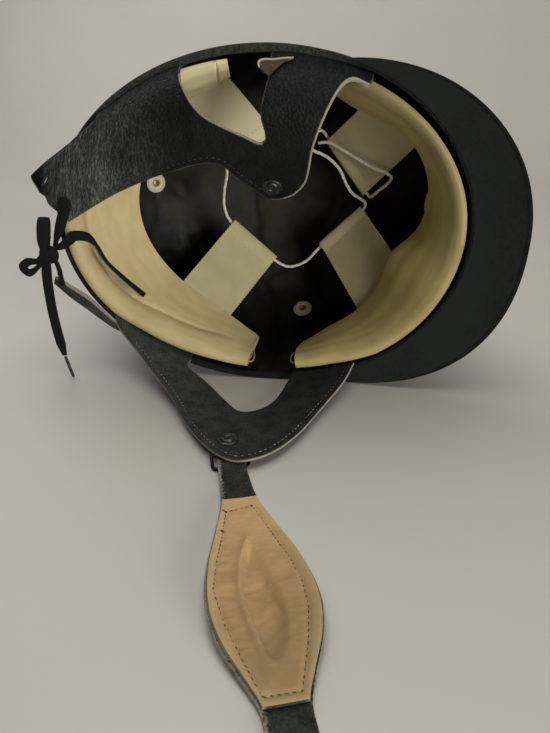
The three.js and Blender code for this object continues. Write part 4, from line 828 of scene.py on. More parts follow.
def mottled_material(name, scale, detail, stops, values, relief=None):
    """A material of one fine noise, in its colour and, with a strength and a depth given, in its relief."""
    material, tree = new_material(name)
    place = add_node(tree, "TexCoord").outputs["Object"]
    fine = add_node(tree, "TexNoise", {"Vector": place, "Scale": scale, "Detail": detail})
    finish = {"Base Color": add_node(tree, "ValToRGB", {"Fac": fine}, stops=stops), **values}
    if relief:
        finish["Normal"] = add_node(tree, "Bump",
                                    {"Height": fine, "Strength": relief[0], "Distance": relief[1]})
    shader = add_node(tree, "BsdfPrincipled", finish)
    add_node(tree, "OutputMaterial", {"Surface": shader})
    return material


sew("tape_stitches", tape_seams, webbing, length=2.2, pitch=3.0, radius=0.28)

# Linen thread, waxed: dull and a little fibrous, in an undyed grey that is soiled in places.
pale_thread = mottled_material("waxed grey linen thread", 1000 / 6, 3.0,
                               [(0.38, "#383934"), (0.6, "#8F8E86")],
                               {"Roughness": 0.8})


# Drawstring: a thin off-white cotton cord through the turned ends of the four tapes. It gathers them into a
# ring and is tied in a bow with a loose loop towards the front.
DRAWSTRING_RADIUS = 0.98
DRAWSTRING_ROUTE = [
    (19.5, -42.5, 86.0), (9.0, -48.6, 86.0), (-3.2, -53.2, 86.0), (-7.3, -50.3, 86.0), (-32.2, -28.9, 86.0),
    (-34.8, -24.0, 86.0), (-34.6, -17.0, 86.0), (-36.8, -6.0, 86.0), (-37.2, 6.0, 86.0), (-33.6, 15.2, 86.0),
    (-16.5, 29.9, 86.0), (0.6, 44.5, 86.0), (9.0, 47.8, 86.0), (21.0, 43.6, 86.0), (31.0, 32.9, 86.0),
    (57.0, 7.7, 86.0), (61.2, 3.6, 86.0), (61.4, 0.4, 85.8), (52.2, -6.2, 84.2), (47.7, -12.9, 82.8),
    (43.3, -21.5, 82.0), (37.1, -27.9, 82.0), (30.9, -31.5, 82.4), (25.5, -33.6, 82.2), (21.6, -37.0, 80.6),
    (24.0, -42.5, 82.4), (29.8, -46.2, 85.6), (34.2, -42.0, 86.0), (48.4, -23.7, 86.0), (62.6, -5.3, 86.0),
    (64.6, -4.0, 84.4), (69.3, -9.2, 77.0), (75.2, -15.8, 70.0), (76.8, -20.3, 64.6), (72.6, -24.0, 60.0),
    (66.2, -25.6, 63.4), (50.4, -32.6, 71.6), (35.0, -39.4, 79.2), (28.6, -38.6, 82.6),
]
CORD_SIDES = 15
CORD_STRANDS = 3
CORD_LAY = 5.0

# Cotton cord: soft, matt and off-white, with a slight grey in the twist.
cotton = mottled_material("twisted cotton cord", 1000 / 1.2, 4.0, [(0.3, "#B9B29D"), (0.65, "#DDD7C6")],
                          {"Roughness": 0.9, "Sheen Weight": 0.15}, relief=(0.3, 0.0002))

route = even(spline(DRAWSTRING_ROUTE, 12), 0.8)
rings, flat = round_rings(route, DRAWSTRING_RADIUS, CORD_SIDES, CORD_STRANDS, CORD_LAY)
points, faces = skin(to_row(rings))
drawstring = add_piece("drawstring_cord", points, faces, [cotton], flat=flat, sharp=70,
                       replaces=["drawstring"])


# Right harness: a Y cut from black grain leather, with its tan flesh side behind. Its two arms go up between
# headband and shell, it bulges out over the opening, and its nape arm reaches back to the lace.
LEATHER_HALF = 0.9
HARNESS_INSET = 2.8
ROOT_INSET = 3.2
ROOT_TOP = -15.4
HANG_BULGE = 24.0
HANG_LENGTH = 74.0
HANG_SHAPE = 0.75
HANG_START = 1.4
RIM_TUCK = 2.4
NAPE_X = -100.0
NAPE_SLOPE = 1.215
LEATHER_STEP = 0.85
LEATHER_ROW = 0.87
EDGE_BEVEL = 0.7
EDGE_SHARE = 0.72
PALE_WIDTH = 1.5
SEAM_INSET = 3.2
RIGHT_NAPE_TOP = [(-132.3, -28.0), (-131.0, -29.3), (-121.8, -36.3), (-105, -46.9), (-92, -56)]
RIGHT_REAR_ROOT = (-88, -40)
RIGHT_EAR = [(-38.5, -83), (-35.2, -76.4), (-23.9, -63.4), (-2.7, -53.3), (2.2, -50.9), (5.3, -50.3),
             (7.2, -52.0), (7.2, -56.0),
             (5.4, -65.1), (8.7, -80.9)]
RIGHT_FRONT_ROOT = (8, 60)
RIGHT_FRONT = [(58, -78.2), (49, -80.5), (40.9, -70.2), (32.5, -50.1), (28.1, -30.7), (21.4, -22.0),
               (15.0, -18.7)]
RIGHT_LOWER = [(15.0, -18.7), (9.4, -17.9), (3.9, -19.6), (-8.8, -29.8), (-21.2, -39.4), (-46.9, -33.8),
               (-77.7, -21.6), (-108.8, -4.2)]
RIGHT_NAPE_END = [(-118.7, -11.2), (-121.6, -12.8), (-123.8, -17.1), (-127.4, -18.1), (-130.5, -23.2),
                  (-132.0, -25.9)]
RIGHT_CORNER = [(19.8, 3.1), (14.7, 4.0), (11.2, 4.8), (7.5, 5.4), (5.1, 6.2), (3.4, 7.5), (3.1, 9.3),
                (3.8, 10.6), (5.2, 11.6),
                (7.0, 12.5), (8.9, 13.4), (10.4, 11.6), (12.0, 10.1), (15.0, 6.5)]
RIGHT_CORNER_LIFT = 1.6
RIGHT_CORNER_HALF = 0.6
RIGHT_CREASES = 0.28
RIGHT_UNEVEN = 0.35
NAPE_HOLE = (-123.2, -25.8)
NAPE_HOLE_RADIUS = (2.0, 0.9)
# Share along the arm of crease relief and of grey painted on the crests, for worn grain and painted glints.
RIGHT_RUB_AND_GLINT = {"x": [-127, -118, -106, -92, -80, -68, -54, -40],
             "share": [0.0, 0.5, 0.92, 0.9, 0.62, 0.34, 0.15, 0.0]}


def wall_y(x, inset=HARNESS_INSET):
    """Half width of the opening at a length x, carried on straight behind the nape."""
    near = np.clip(np.asarray(x, float), NAPE_X, 110)
    share = near / (HALF_LENGTH - inset)
    half = (HALF_WIDTH - inset) * np.sqrt(1 - share ** 2) * (1 + FRONT_WIDENING * share)
    return half + NAPE_SLOPE * (x - near)


def right_surface(x, drop):
    """Place on the right harness for a length x to the front and a drop from the shell's wall."""
    bulge = HANG_BULGE * (0.35 + 0.65 * np.clip((x + 115) / 85, 0, 1))
    ease = 8 * np.clip((-80 - x) / 20, 0, 1)
    below = (drop + np.sqrt(drop ** 2 + ease ** 2)) / 2
    hang = HANG_START + bulge * np.sin(math.pi * (below / HANG_LENGTH).clip(0) ** HANG_SHAPE)
    on_wall = (drop < 0) & (x > -90)
    inset = np.where(on_wall, np.interp(drop, [-3, 0], [ROOT_INSET, HARNESS_INSET]), HARNESS_INSET)
    past_roll = np.where(on_wall, np.clip(1 + drop / 6, 0, 1), np.exp(-((drop.clip(0) / 8) ** 2)))
    y = np.where(on_wall, 0, drop) - wall_y(x, inset) + RIM_TUCK * past_roll * np.clip((x + 92) / 12, 0, 1)
    z = np.where(on_wall, -HANG_START - drop, -hang)
    return to_row(np.stack([x, y, z], axis=-1))


def closed_outline(stretches, step):
    """A closed outline through some stretches, joined by straight lines, with corners kept."""
    parts = []
    for i, stretch in enumerate(stretches):
        after = stretches[(i + 1) % len(stretches)]
        for line in (np.asarray(stretch, float), np.array([stretch[-1], after[0]], float)):
            if np.linalg.norm(np.diff(line, axis=0), axis=1).sum() > 0.2:
                parts.append(even(line, step)[:-1])
    return np.vstack(parts)


def inside_of(points, loop):
    """Whether each flat point lies within a loop."""
    a = loop
    b = np.roll(loop, -1, axis=0)
    x, y = points[:, 0, None], points[:, 1, None]
    crosses = (a[:, 1] > y) != (b[:, 1] > y)
    rise = np.where(b[:, 1] == a[:, 1], 1e-9, b[:, 1] - a[:, 1])
    return (crosses & (x < a[:, 0] + (y - a[:, 1]) / rise * (b[:, 0] - a[:, 0]))).sum(1) % 2 == 1


def on_cut_piece(points, outline, holes):
    """Whether each flat point lies on a piece cut to an outline with some holes."""
    on_piece = inside_of(points, outline)
    for hole in holes:
        on_piece &= ~inside_of(points, hole)
    return on_piece


def line_distance(points, lines):
    """Distance from each flat point to the nearest of some open lines."""
    best = np.full(len(points), 1e9)
    for line in lines:
        a = np.asarray(line, float)[:-1]
        d = np.diff(line, axis=0)
        rel = points[:, None] - a[None]
        t = np.clip((rel * d).sum(-1) / (d * d).sum(-1).clip(1e-12), 0, 1)
        best = np.minimum(best, np.linalg.norm(rel - t[..., None] * d, axis=-1).min(1))
    return best


def edge_distance(points, loops):
    """Distance from each flat point to the nearest cut edge."""
    return line_distance(points, [np.vstack([loop, loop[:1]]) for loop in loops])


def inward(loop, distance):
    """Each point of a loop moved in from the edge."""
    way = unit(np.roll(loop, -1, axis=0) - np.roll(loop, 1, axis=0))
    x, y = loop[:, 0], loop[:, 1]
    turn = math.copysign(1, (x * np.roll(y, -1) - np.roll(x, -1) * y).sum())
    return loop + distance * turn * np.stack([-way[:, 1], way[:, 0]], axis=1)


def surface_frame(surface, flat):
    """Place and normal of a surface at flat points."""
    u, v = flat[:, 0], flat[:, 1]
    step = 0.15
    normal = np.cross(surface(u + step, v) - surface(u - step, v),
                      surface(u, v + step) - surface(u, v - step))
    return surface(u, v), unit(normal)


def cut_leather(outline, surface, half, holes=(), relief=None, swell=None, face=1, pale=()):
    """A piece cut to an outline and laid on a surface: its face, its back and the cut edge between them.

    relief moves both sides and swell the face alone, in millimetres. face is the surface's side, 1 or -1.
    pale holds the lines along which the cut edge is left undyed, each with its strength and width.
    """
    loops = [outline, *holes]
    low, high = outline.min(0), outline.max(0)
    field = []
    for i, y in enumerate(np.arange(low[1], high[1], LEATHER_STEP * LEATHER_ROW)):
        x = np.arange(low[0] + (i % 2) * LEATHER_STEP / 2, high[0], LEATHER_STEP)
        field.append(np.stack([x, np.full(len(x), y)], axis=1))
    field = np.vstack(field)
    field = np.vstack([inward(outline, EDGE_BEVEL), *[inward(hole, -EDGE_BEVEL) for hole in holes],
                       field[edge_distance(field, loops) > EDGE_BEVEL + 0.6 * LEATHER_STEP]])
    corners = np.vstack([*loops, field[on_cut_piece(field, outline, holes)]])
    starts = np.cumsum([0] + [len(loop) for loop in loops])
    edges = [(int(s + i), int(s + (i + 1) % len(loop))) for s, loop in zip(starts, loops)
             for i in range(len(loop))]
    found = delaunay_2d_cdt([Vector(p) for p in corners], edges, [], 0, 1e-6)
    flat = np.array([tuple(p) for p in found[0]])
    triangles = np.array(found[2])
    triangles = triangles[on_cut_piece(flat[triangles].mean(1), outline, holes)]
    depth = edge_distance(flat, loops)
    thick = half * (EDGE_SHARE + (1 - EDGE_SHARE) * np.clip(depth / EDGE_BEVEL, 0, 1))
    place, normal = surface_frame(surface, flat)
    normal *= face
    move = np.zeros(len(flat)) if relief is None else relief(flat, depth)
    raise_face = np.zeros(len(flat)) if swell is None else swell(flat, depth)
    top = place + normal * ((thick + move + raise_face) / 1000)[:, None]
    back = place + normal * ((move - thick) / 1000)[:, None]
    count = len(flat)
    directed = {(int(a), int(b)) for t in triangles for a, b in zip(t, np.roll(t, -1))}
    border = sorted((a, b) for a, b in directed if (b, a) not in directed)
    faces = [tuple(int(i) for i in t) for t in triangles]
    faces += [tuple(int(i) + count for i in t[::-1]) for t in triangles]
    faces += [(b, a, a + count, b + count) for a, b in border]
    kinds = [0] * len(triangles) + [1] * len(triangles) + [2] * len(border)
    coordinates = np.column_stack([flat, depth])
    marks = np.max([share * np.clip(1 - line_distance(flat, [line]) / width, 0, 1)
                    for line, share, width in pale], axis=0)
    return np.vstack([top, back]), faces, kinds, np.vstack([coordinates, coordinates]), np.tile(marks, 2)


def seam_on(surface, line, lift, face=1):
    """A sewn line laid on a surface, from flat points."""
    place, normal = surface_frame(surface, line)
    return place + normal * face * lift / 1000


# Black grain leather: pebbled and nearly black. On the bent rear arm the crests of its creases and the tops
# of its pebbles are painted grey, partly for worn grain and partly as painted highlights where light glints
# on them. It is grey along its worn edges and pale where an edge is left undyed.
grain_leather, tree = new_material("black pebbled cowhide")
flat = add_node(tree, "Attribute", attribute_name="flat").outputs["Vector"]
bare = add_node(tree, "Attribute", attribute_name="pale").outputs["Fac"]
rubbed = add_node(tree, "Attribute", attribute_name="rubbed").outputs["Fac"]
spot = add_node(tree, "SeparateXYZ", {0: flat})
level = add_node(tree, "VectorMath", {0: flat, 1: (1.0, 1.0, 0.0)}, operation="MULTIPLY")
warp = add_node(tree, "TexNoise", {"Vector": level, "Scale": 1 / 2.5, "Detail": 2.0})
bent = add_node(tree, "VectorMath", {0: level, 1: warp.outputs["Color"]}, operation="ADD")
pebbles = add_node(tree, "TexVoronoi", {"Vector": bent, "Scale": 1 / 1.3}, feature="SMOOTH_F1")
tops = add_node(tree, "MapRange", {
    "Value": pebbles, "From Min": 0.15, "From Max": 0.6, "To Min": 1.0, "To Max": 0.45})
dust = add_node(tree, "TexNoise", {"Vector": level, "Scale": 1 / 9.0, "Detail": 5.0})
tone = add_node(tree, "ValToRGB", {"Fac": dust}, stops=[(0.3, "#090B0A"), (0.75, "#131614")])
across = add_node(tree, "Mapping", {
    "Vector": level, "Rotation": (0, 0, math.radians(24)), "Scale": (1.0, 0.24, 1.0)})
creased = add_node(tree, "TexNoise", {"Vector": across, "Scale": 1 / 2.6, "Detail": 2.0})
apart = add_node(tree, "Math", {0: creased, 1: 0.5}, operation="SUBTRACT")
apart = add_node(tree, "Math", {0: apart}, operation="ABSOLUTE")
crests = add_node(tree, "MapRange", {
    "Value": apart, "From Min": 0.0, "From Max": 0.07, "To Min": 1.0, "To Max": 0.4})
# Painted highlights: crests and pebble tops turn grey where light glints on the rear arm, with worn grain.
lit = add_node(tree, "Math", {0: crests, 1: tops}, operation="MULTIPLY")
greyed = add_node(tree, "Math", {0: rubbed, 1: lit}, operation="MULTIPLY")
ridged = add_node(tree, "Mix", {0: greyed, 6: tone, 7: linear("#848680")}, data_type="RGBA")
near = add_node(tree, "Math", {0: spot.outputs["Z"], 1: dust}, operation="ADD")
rub = add_node(tree, "MapRange", {
    "Value": near, "From Min": 0.5, "From Max": 1.2, "To Min": 0.7, "To Max": 0.0})
worn = add_node(tree, "Mix", {0: rub, 6: ridged, 7: linear("#56534B")}, data_type="RGBA")
undyed = add_node(tree, "MapRange", {"Value": bare, "From Min": 0.25, "From Max": 0.5})
edged = add_node(tree, "Mix", {0: undyed, 6: worn, 7: linear("#8F8873")}, data_type="RGBA")
shine = add_node(tree, "MapRange", {"Value": pebbles, "From Max": 0.7, "To Min": 0.42, "To Max": 0.7})
dulled = add_node(tree, "MapRange", {
    "Value": spot.outputs["Y"], "From Min": 3.0, "From Max": 20.0, "To Min": 0.025, "To Max": 0.13})
folds = add_node(tree, "Math", {0: crests, 1: rubbed}, operation="MULTIPLY")
bump = add_node(tree, "Bump", {"Height": folds, "Strength": 0.7, "Distance": 0.0005})
bump = add_node(tree, "Bump", {
    "Height": pebbles, "Strength": 0.9, "Distance": 0.0005, "Normal": bump}, invert=True)
shader = add_node(tree, "BsdfPrincipled", {
    "Base Color": edged, "Roughness": shine, "Specular IOR Level": dulled, "Normal": bump})
add_node(tree, "OutputMaterial", {"Surface": shader})

# Flesh side of undyed hide: matt and fibrous, and pale at a cut edge. Its tan is painted very dark, as
# painted shade on the curled corner where this side shows.
flesh, tree = new_material("tan flesh side of cowhide")
flat = add_node(tree, "Attribute", attribute_name="flat").outputs["Vector"]
fibre = add_node(tree, "TexNoise", {"Vector": flat, "Scale": 1 / 1.3, "Detail": 6.0})
tone = add_node(tree, "ValToRGB", {"Fac": fibre}, stops=[(0.3, "#2C2314"), (0.7, "#413521")])
bare = add_node(tree, "Attribute", attribute_name="pale").outputs["Fac"]
undyed = add_node(tree, "MapRange", {"Value": bare, "From Min": 0.3, "From Max": 0.6})
edged = add_node(tree, "Mix", {0: undyed, 6: tone, 7: linear("#A5966F")}, data_type="RGBA")
bump = add_node(tree, "Bump", {"Height": fibre, "Strength": 0.5, "Distance": 0.0004})
shader = add_node(tree, "BsdfPrincipled", {"Base Color": edged, "Roughness": 0.95, "Normal": bump})
add_node(tree, "OutputMaterial", {"Surface": shader})

# Raw cut edge: pale cream fibres where the knife went through, dyed dark grey where it was not left pale.
raw_edge, tree = new_material("raw cut leather edge")
place = add_node(tree, "TexCoord").outputs["Object"]
bare = add_node(tree, "Attribute", attribute_name="pale").outputs["Fac"]
fibre = add_node(tree, "TexNoise", {"Vector": place, "Scale": 1000 / 5, "Detail": 6.0, "Roughness": 0.65})
tone = add_node(tree, "ValToRGB", {"Fac": fibre},
                stops=[(0.3, "#6B6453"), (0.42, "#918872"), (0.65, "#ABA28B")])
tone = add_node(tree, "Mix", {0: bare, 6: linear("#33322D"), 7: tone}, data_type="RGBA")
shader = add_node(tree, "BsdfPrincipled", {"Base Color": tone, "Roughness": 0.9})
add_node(tree, "OutputMaterial", {"Surface": shader})


def with_drop(points):
    """Outline points of the right harness with their drop from the wall in place of y."""
    p = np.asarray(points, float)
    return np.stack([p[:, 0], p[:, 1] + wall_y(p[:, 0])], axis=1)


def root_run(ends, top, foot):
    """Outline of an arm's root: up to its top edge, along it and down again."""
    return [(ends[0], foot), (ends[0], top), (ends[1], top), (ends[1], foot)]


def right_rub_and_glint(x, drop):
    """How much the rear arm is creased and painted grey on its crests, for worn grain and painted glints;
    patchy, fading out towards the ear.
    """
    patches = lumps(np.stack([x, drop, 0 * x], axis=1), 13.0, 9.0)
    bent = np.interp(x, RIGHT_RUB_AND_GLINT["x"], RIGHT_RUB_AND_GLINT["share"])
    low = np.clip(np.maximum(0.3 + drop / 30, (-86 - x) / 8), 0, 1)
    return bent * low * np.clip(0.8 + 0.5 * patches, 0, 1) + 0.03


def right_relief(flat, depth):
    """Short creases across the rear arm, and a soft unevenness all over."""
    x, drop = flat[:, 0], flat[:, 1]
    short = np.stack([x - 0.15 * drop, 0.34 * drop, 0 * x], axis=1)
    ridges = 1 - 2 * np.abs(lumps(short, 2.6, 6.0))
    soft = lumps(np.column_stack([flat, 0 * depth]), 17.0, 8.0)
    height = RIGHT_CREASES * right_rub_and_glint(x, drop) * ridges + RIGHT_UNEVEN * soft
    return height * np.clip(depth / 3, 0.25, 1)


right_lower = with_drop(spline(RIGHT_LOWER, 12, 0))
right_front = with_drop(spline(RIGHT_FRONT, 12, 0))
right_ear = with_drop(spline(RIGHT_EAR, 10, 0))
outline = closed_outline([
    with_drop(even(np.array(RIGHT_NAPE_TOP, float), 2.0)), root_run(RIGHT_REAR_ROOT, ROOT_TOP, 1.0),
    right_ear,
    root_run(RIGHT_FRONT_ROOT, ROOT_TOP, 1.0), right_front, right_lower,
    with_drop(even(np.array(RIGHT_NAPE_END, float), 2.0))], 1.0)
around = np.linspace(0, 2 * math.pi, 16, endpoint=False)
hole = with_drop([NAPE_HOLE]) + np.stack([np.cos(around), np.sin(around)], axis=1) * NAPE_HOLE_RADIUS
bare = [(right_front, 0.9, PALE_WIDTH), (right_lower[:18], 0.5, PALE_WIDTH),
        (right_ear[:52], 0.55, PALE_WIDTH)]
points, faces, kinds, flat, pale = cut_leather(outline, right_surface, LEATHER_HALF, holes=[hole],
                                               relief=right_relief, face=-1, pale=bare)
# Crease amount and painted glints on the rear arm.
rubbed = right_rub_and_glint(flat[:, 0], flat[:, 1])
add_piece("harness_right_leather", points, faces, [grain_leather, flesh, raw_edge], kinds, flat,
          {"pale": pale, "rubbed": rubbed}, replaces=["harness_right"])


def corner_relief(flat, depth):
    """How far the curled corner stands off the arm, most at its rounded end."""
    curl = 1.4 * np.clip((9 - flat[:, 0]) / 6, 0, 1)
    return RIGHT_CORNER_LIFT + curl + 0.5 * np.clip(1 - depth / 1.6, 0, 1)


# The curled corner shows the flesh side, painted dark as painted shade.
corner_edge = spline(RIGHT_CORNER[:11], 4)
outline = closed_outline([corner_edge, RIGHT_CORNER[11:]], 0.7)
bare = [(corner_edge[:28], 1.0, PALE_WIDTH)]
points, faces, kinds, flat, pale = cut_leather(outline, right_surface, RIGHT_CORNER_HALF,
                                               relief=corner_relief,
                                               face=-1, pale=bare)
add_piece("harness_right_corner", points, faces, [flesh, grain_leather, raw_edge], kinds, flat,
          {"pale": pale})


# Left harness: the other Y, turned over so that its suede flesh side shows. It comes over the lower rim and
# lies forward on the surface, and its nape arm is a strip that reaches back to the lace.
LEFT_TIP_HEIGHT = 5.9
LEFT_FALL = 80.0
LEFT_ROOT_TOP = -14.0
LEFT_START = 0.35
LEFT_UNEVEN = 0.3
LEFT_FACE_PALE = 0.35
LEFT_NAPE_COLUMNS = 14
LEFT_NAPE_PALE = 5
LEFT_OUTER = [(-92, LEFT_START), (-88, 8), (-75.6, 16.4), (-62.3, 27.6), (-45.7, 45.8), (-31.1, 70.2),
              (-18, 88.2),
              (-5.3, 99.5), (5, 102), (18.2, 93.7), (30.1, 75.3), (42.6, 43.9), (53.9, 18.6),
              (59, LEFT_START)]
LEFT_EAR = [(20, LEFT_START), (18.7, 11), (16.3, 27), (13.6, 37.6), (9.2, 46.4), (3.4, 51.8), (-2.4, 53.5),
            (-7.4, 51), (-15.9, 40.2),
            (-25.1, 28.6), (-33, 20.2), (-44.6, 11.2), (-44.7, LEFT_START)]
LEFT_ROOTS = [(58, 20.5), (-45.5, -91)]
LEFT_NAPE_UPPER = [(-84, 64.5, -4.5), (-91.5, 59.8, -3.6), (-98.5, 52.2, -3.9), (-106.4, 43.6, -4.3),
                   (-115.6, 37.2, -4.9),
                   (-125.2, 30.8, -6)]
LEFT_NAPE_LOWER = [(-84.5, 67, -6), (-91.5, 62.8, -7.0), (-99.4, 56.2, -8.4), (-107.4, 49.8, -8.9),
                   (-115.8, 43.4, -9.0),
                   (-125.6, 34.6, -8.6)]


def left_surface(x, ahead):
    """Place on the left harness for a length x to the front and a distance ahead of the rim."""
    start = RIM_CENTRE[2] - wall_y(x, ROOT_INSET)
    fall = np.clip(ahead / LEFT_FALL, 0, 1)
    height = start + (LEFT_TIP_HEIGHT - start) * fall ** 2 * (3 - 2 * fall)
    return to_row(np.stack([x, RIM_CENTRE[2] - height, -ahead], axis=-1))


def left_relief(flat, depth):
    """A soft unevenness all over, less at the edges."""
    return LEFT_UNEVEN * lumps(np.column_stack([flat, 0 * depth]), 15.0, 11.0) * np.clip(depth / 3, 0.25, 1)


# Suede: the napped side of black hide, grey-black and matt, with light specks and pale undyed edges.
suede, tree = new_material("black suede")
flat = add_node(tree, "Attribute", attribute_name="flat").outputs["Vector"]
bare = add_node(tree, "Attribute", attribute_name="pale").outputs["Fac"]
level = add_node(tree, "VectorMath", {0: flat, 1: (1.0, 1.0, 0.0)}, operation="MULTIPLY")
nap = add_node(tree, "TexNoise", {"Vector": level, "Scale": 1 / 1.2, "Detail": 5.0})
scuffs = add_node(tree, "TexNoise", {"Vector": level, "Scale": 1 / 9.0, "Detail": 4.0})
mixed = add_node(tree, "Math", {0: nap, 1: scuffs}, operation="ADD")
halved = add_node(tree, "Math", {0: mixed, 1: 0.5}, operation="MULTIPLY")
tone = add_node(tree, "ValToRGB", {"Fac": halved}, stops=[(0.38, "#1B1D19"), (0.66, "#3B3D34")])
spot = add_node(tree, "SeparateXYZ", {0: flat})
# Lighter towards the rear end of the Y and darker towards its front.
lighter_towards_rear = add_node(tree, "MapRange", {
    "Value": spot.outputs["X"], "From Min": -60.0, "From Max": 30.0, "To Min": 1.6, "To Max": 0.66})
tone = add_node(tree, "VectorMath", {0: tone, "Scale": lighter_towards_rear}, operation="SCALE")
frayed = add_node(tree, "Math", {0: bare, 1: nap}, operation="MULTIPLY")
undyed = add_node(tree, "MapRange", {"Value": frayed, "From Min": 0.28, "From Max": 0.5})
edged = add_node(tree, "Mix", {0: undyed, 6: tone, 7: linear("#8E8674")}, data_type="RGBA")
bump = add_node(tree, "Bump", {"Height": nap, "Strength": 0.5, "Distance": 0.0004})
shader = add_node(tree, "BsdfPrincipled", {
    "Base Color": edged, "Roughness": 0.95, "Specular IOR Level": 0.2, "Normal": bump})
add_node(tree, "OutputMaterial", {"Surface": shader})

left_outer = spline(LEFT_OUTER, 12, 0)
left_ear = spline(LEFT_EAR, 12, 0)
outline = closed_outline([left_outer, root_run(LEFT_ROOTS[0], LEFT_ROOT_TOP, LEFT_START), left_ear,
                          root_run(LEFT_ROOTS[1], LEFT_ROOT_TOP, LEFT_START)], 1.2)
bare = [(left_outer, 1.0, PALE_WIDTH), (left_ear[-14:], 1.0, PALE_WIDTH)]
points, faces, kinds, flat, pale = cut_leather(outline, left_surface, LEATHER_HALF, relief=left_relief,
                                               face=-1,
                                               pale=bare)
pale[:len(pale) // 2] *= LEFT_FACE_PALE
add_piece("harness_left_leather", points, faces, [suede, grain_leather, raw_edge], kinds, flat,
          {"pale": pale},
          replaces=["harness_left"])
upper = spline(LEFT_NAPE_UPPER, 12)
lower = spline(LEFT_NAPE_LOWER, 12)
share = np.linspace(0, 1, LEFT_NAPE_COLUMNS)[None, :, None]
grid = to_row(upper[:, None] + (lower - upper)[:, None] * share)
points, faces, _ = slab(grid, 1.0)
flat = flat_grid(np.linspace(-60, 0, len(upper)), np.linspace(0, 14, LEFT_NAPE_COLUMNS))
flat[..., 2] += 6 - np.abs(np.linspace(-6, 6, LEFT_NAPE_COLUMNS))
flat = flat.reshape(-1, 3)
count = (len(upper) - 1) * (LEFT_NAPE_COLUMNS - 1)
kinds = [0] * (2 * count) + [1] * (len(faces) - 2 * count)
pale = np.tile(np.arange(LEFT_NAPE_COLUMNS) < LEFT_NAPE_PALE, 2 * len(upper))
add_piece("harness_left_nape_arm", points, faces, [suede, raw_edge], kinds, np.vstack([flat, flat]),
          {"pale": pale})

right_line = inward(np.vstack([right_lower, [(-70, 10), (10, 10)]]), SEAM_INSET)[22:len(right_lower) - 3]
left_line = inward(np.vstack([left_outer, [(58, -5), (-91, -5)]]), SEAM_INSET)[3:len(left_outer) - 3]
# Black waxed thread on the grain leather: it shows only as a row of dull grey ticks.
black_thread = mottled_material("waxed black linen thread", 1000 / 1.4, 3.0,
                                [(0.3, "#232421"), (0.7, "#3F3E3A")],
                                {"Roughness": 0.7})

right_seam = seam_on(right_surface, even(right_line, 1.0), LEATHER_HALF + 0.05, face=-1)
left_seam = seam_on(left_surface, even(left_line, 1.0), LEATHER_HALF + 0.05, face=-1)
sew("harness_right_stitches", [right_seam], black_thread, length=2.2, pitch=3.2, radius=0.27)
sew("harness_left_stitches", [left_seam], pale_thread, length=1.8, pitch=3.2, radius=0.24)


# Snaps: round press studs, pressed in steps from sheet brass and blackened. One is riveted through the
# leather near the tip of each Y.
SNAP_SIDES = 48
SNAP_PROFILE = [(0.02, -0.2), (5.4, -0.2), (5.6, 0.0), (5.55, 0.3), (5.0, 0.7), (4.3, 0.66), (3.6, 0.5),
                (3.35, 0.95),
                (3.1, 1.22), (2.7, 1.34), (2.2, 1.3), (1.8, 1.05), (1.6, 0.6), (1.3, 0.5), (0.6, 0.62),
                (0.02, 0.66)]
SNAP_RIGHT = (8.9, -26.3)
SNAP_LEFT = (-5.0, 84.9)

# Blackened brass: dark grey and smooth, with a dull shine, paler where the patina is rubbed.
black_brass, tree = new_material("blackened brass")
place = add_node(tree, "TexCoord").outputs["Object"]
patina = add_node(tree, "TexNoise", {"Vector": place, "Scale": 1000 / 1.8, "Detail": 5.0})
tone = add_node(tree, "ValToRGB", {"Fac": patina}, stops=[(0.4, "#363A39"), (0.75, "#62645F")])
rough = add_node(tree, "MapRange", {"Value": patina, "To Min": 0.34, "To Max": 0.52})
shader = add_node(tree, "BsdfPrincipled", {"Base Color": tone, "Roughness": rough, "Metallic": 0.85})
add_node(tree, "OutputMaterial", {"Surface": shader})

snap_spots = [("snap_right", right_surface, with_drop([SNAP_RIGHT])),
              ("snap_left", left_surface, np.array([SNAP_LEFT]))]
for name, surface, spot in snap_spots:
    place, normal = surface_frame(surface, spot)
    centre = place[0] - normal[0] * (LEATHER_HALF + 0.3) / 1000
    points, faces = skin(turned(SNAP_PROFILE, centre, -normal[0], SNAP_SIDES))
    add_piece(name + "_stud", points, faces, [black_brass], replaces=[name])


# Chin strap: a long black leather strap that widens into a shallow cup for the chin. It lies flat on the
# surface with its suede side up and its raw edges pale.
LYING_SHIFT = (-8.25, 69.8)
STRAP_TOP = (8.7, -128.5)
STRAP_WAY = (0.309, -0.951)
STRAP_HALF = 1.0
STRAP = {
    "along": [-41, -36, -29, -20, -10, 0, 21, 44, 60, 72, 83, 94, 105, 114, 140, 148, 151],
    "half": [6.5, 6.6, 6.8, 7.2, 7.8, 8.8, 13.7, 19.4, 21.4, 20.8, 18.0, 13.0, 8.6, 8.2, 8.0, 6.6, 4.0],
    "height": [1.3, 1.6, 3.4, 2.1, 1.2, 1.0, 1.0, 1.0, 1.0, 1.0, 1.0, 1.0, 1.0, 1.0, 1.0, 1.0, 1.0],
    "dish": [0, 0, 0, 0, 0, 0.3, 2.0, 4.0, 4.8, 4.6, 3.6, 1.6, 0.3, 0, 0, 0, 0],
}


def strap_half(along):
    return eased(along, STRAP["along"], STRAP["half"])


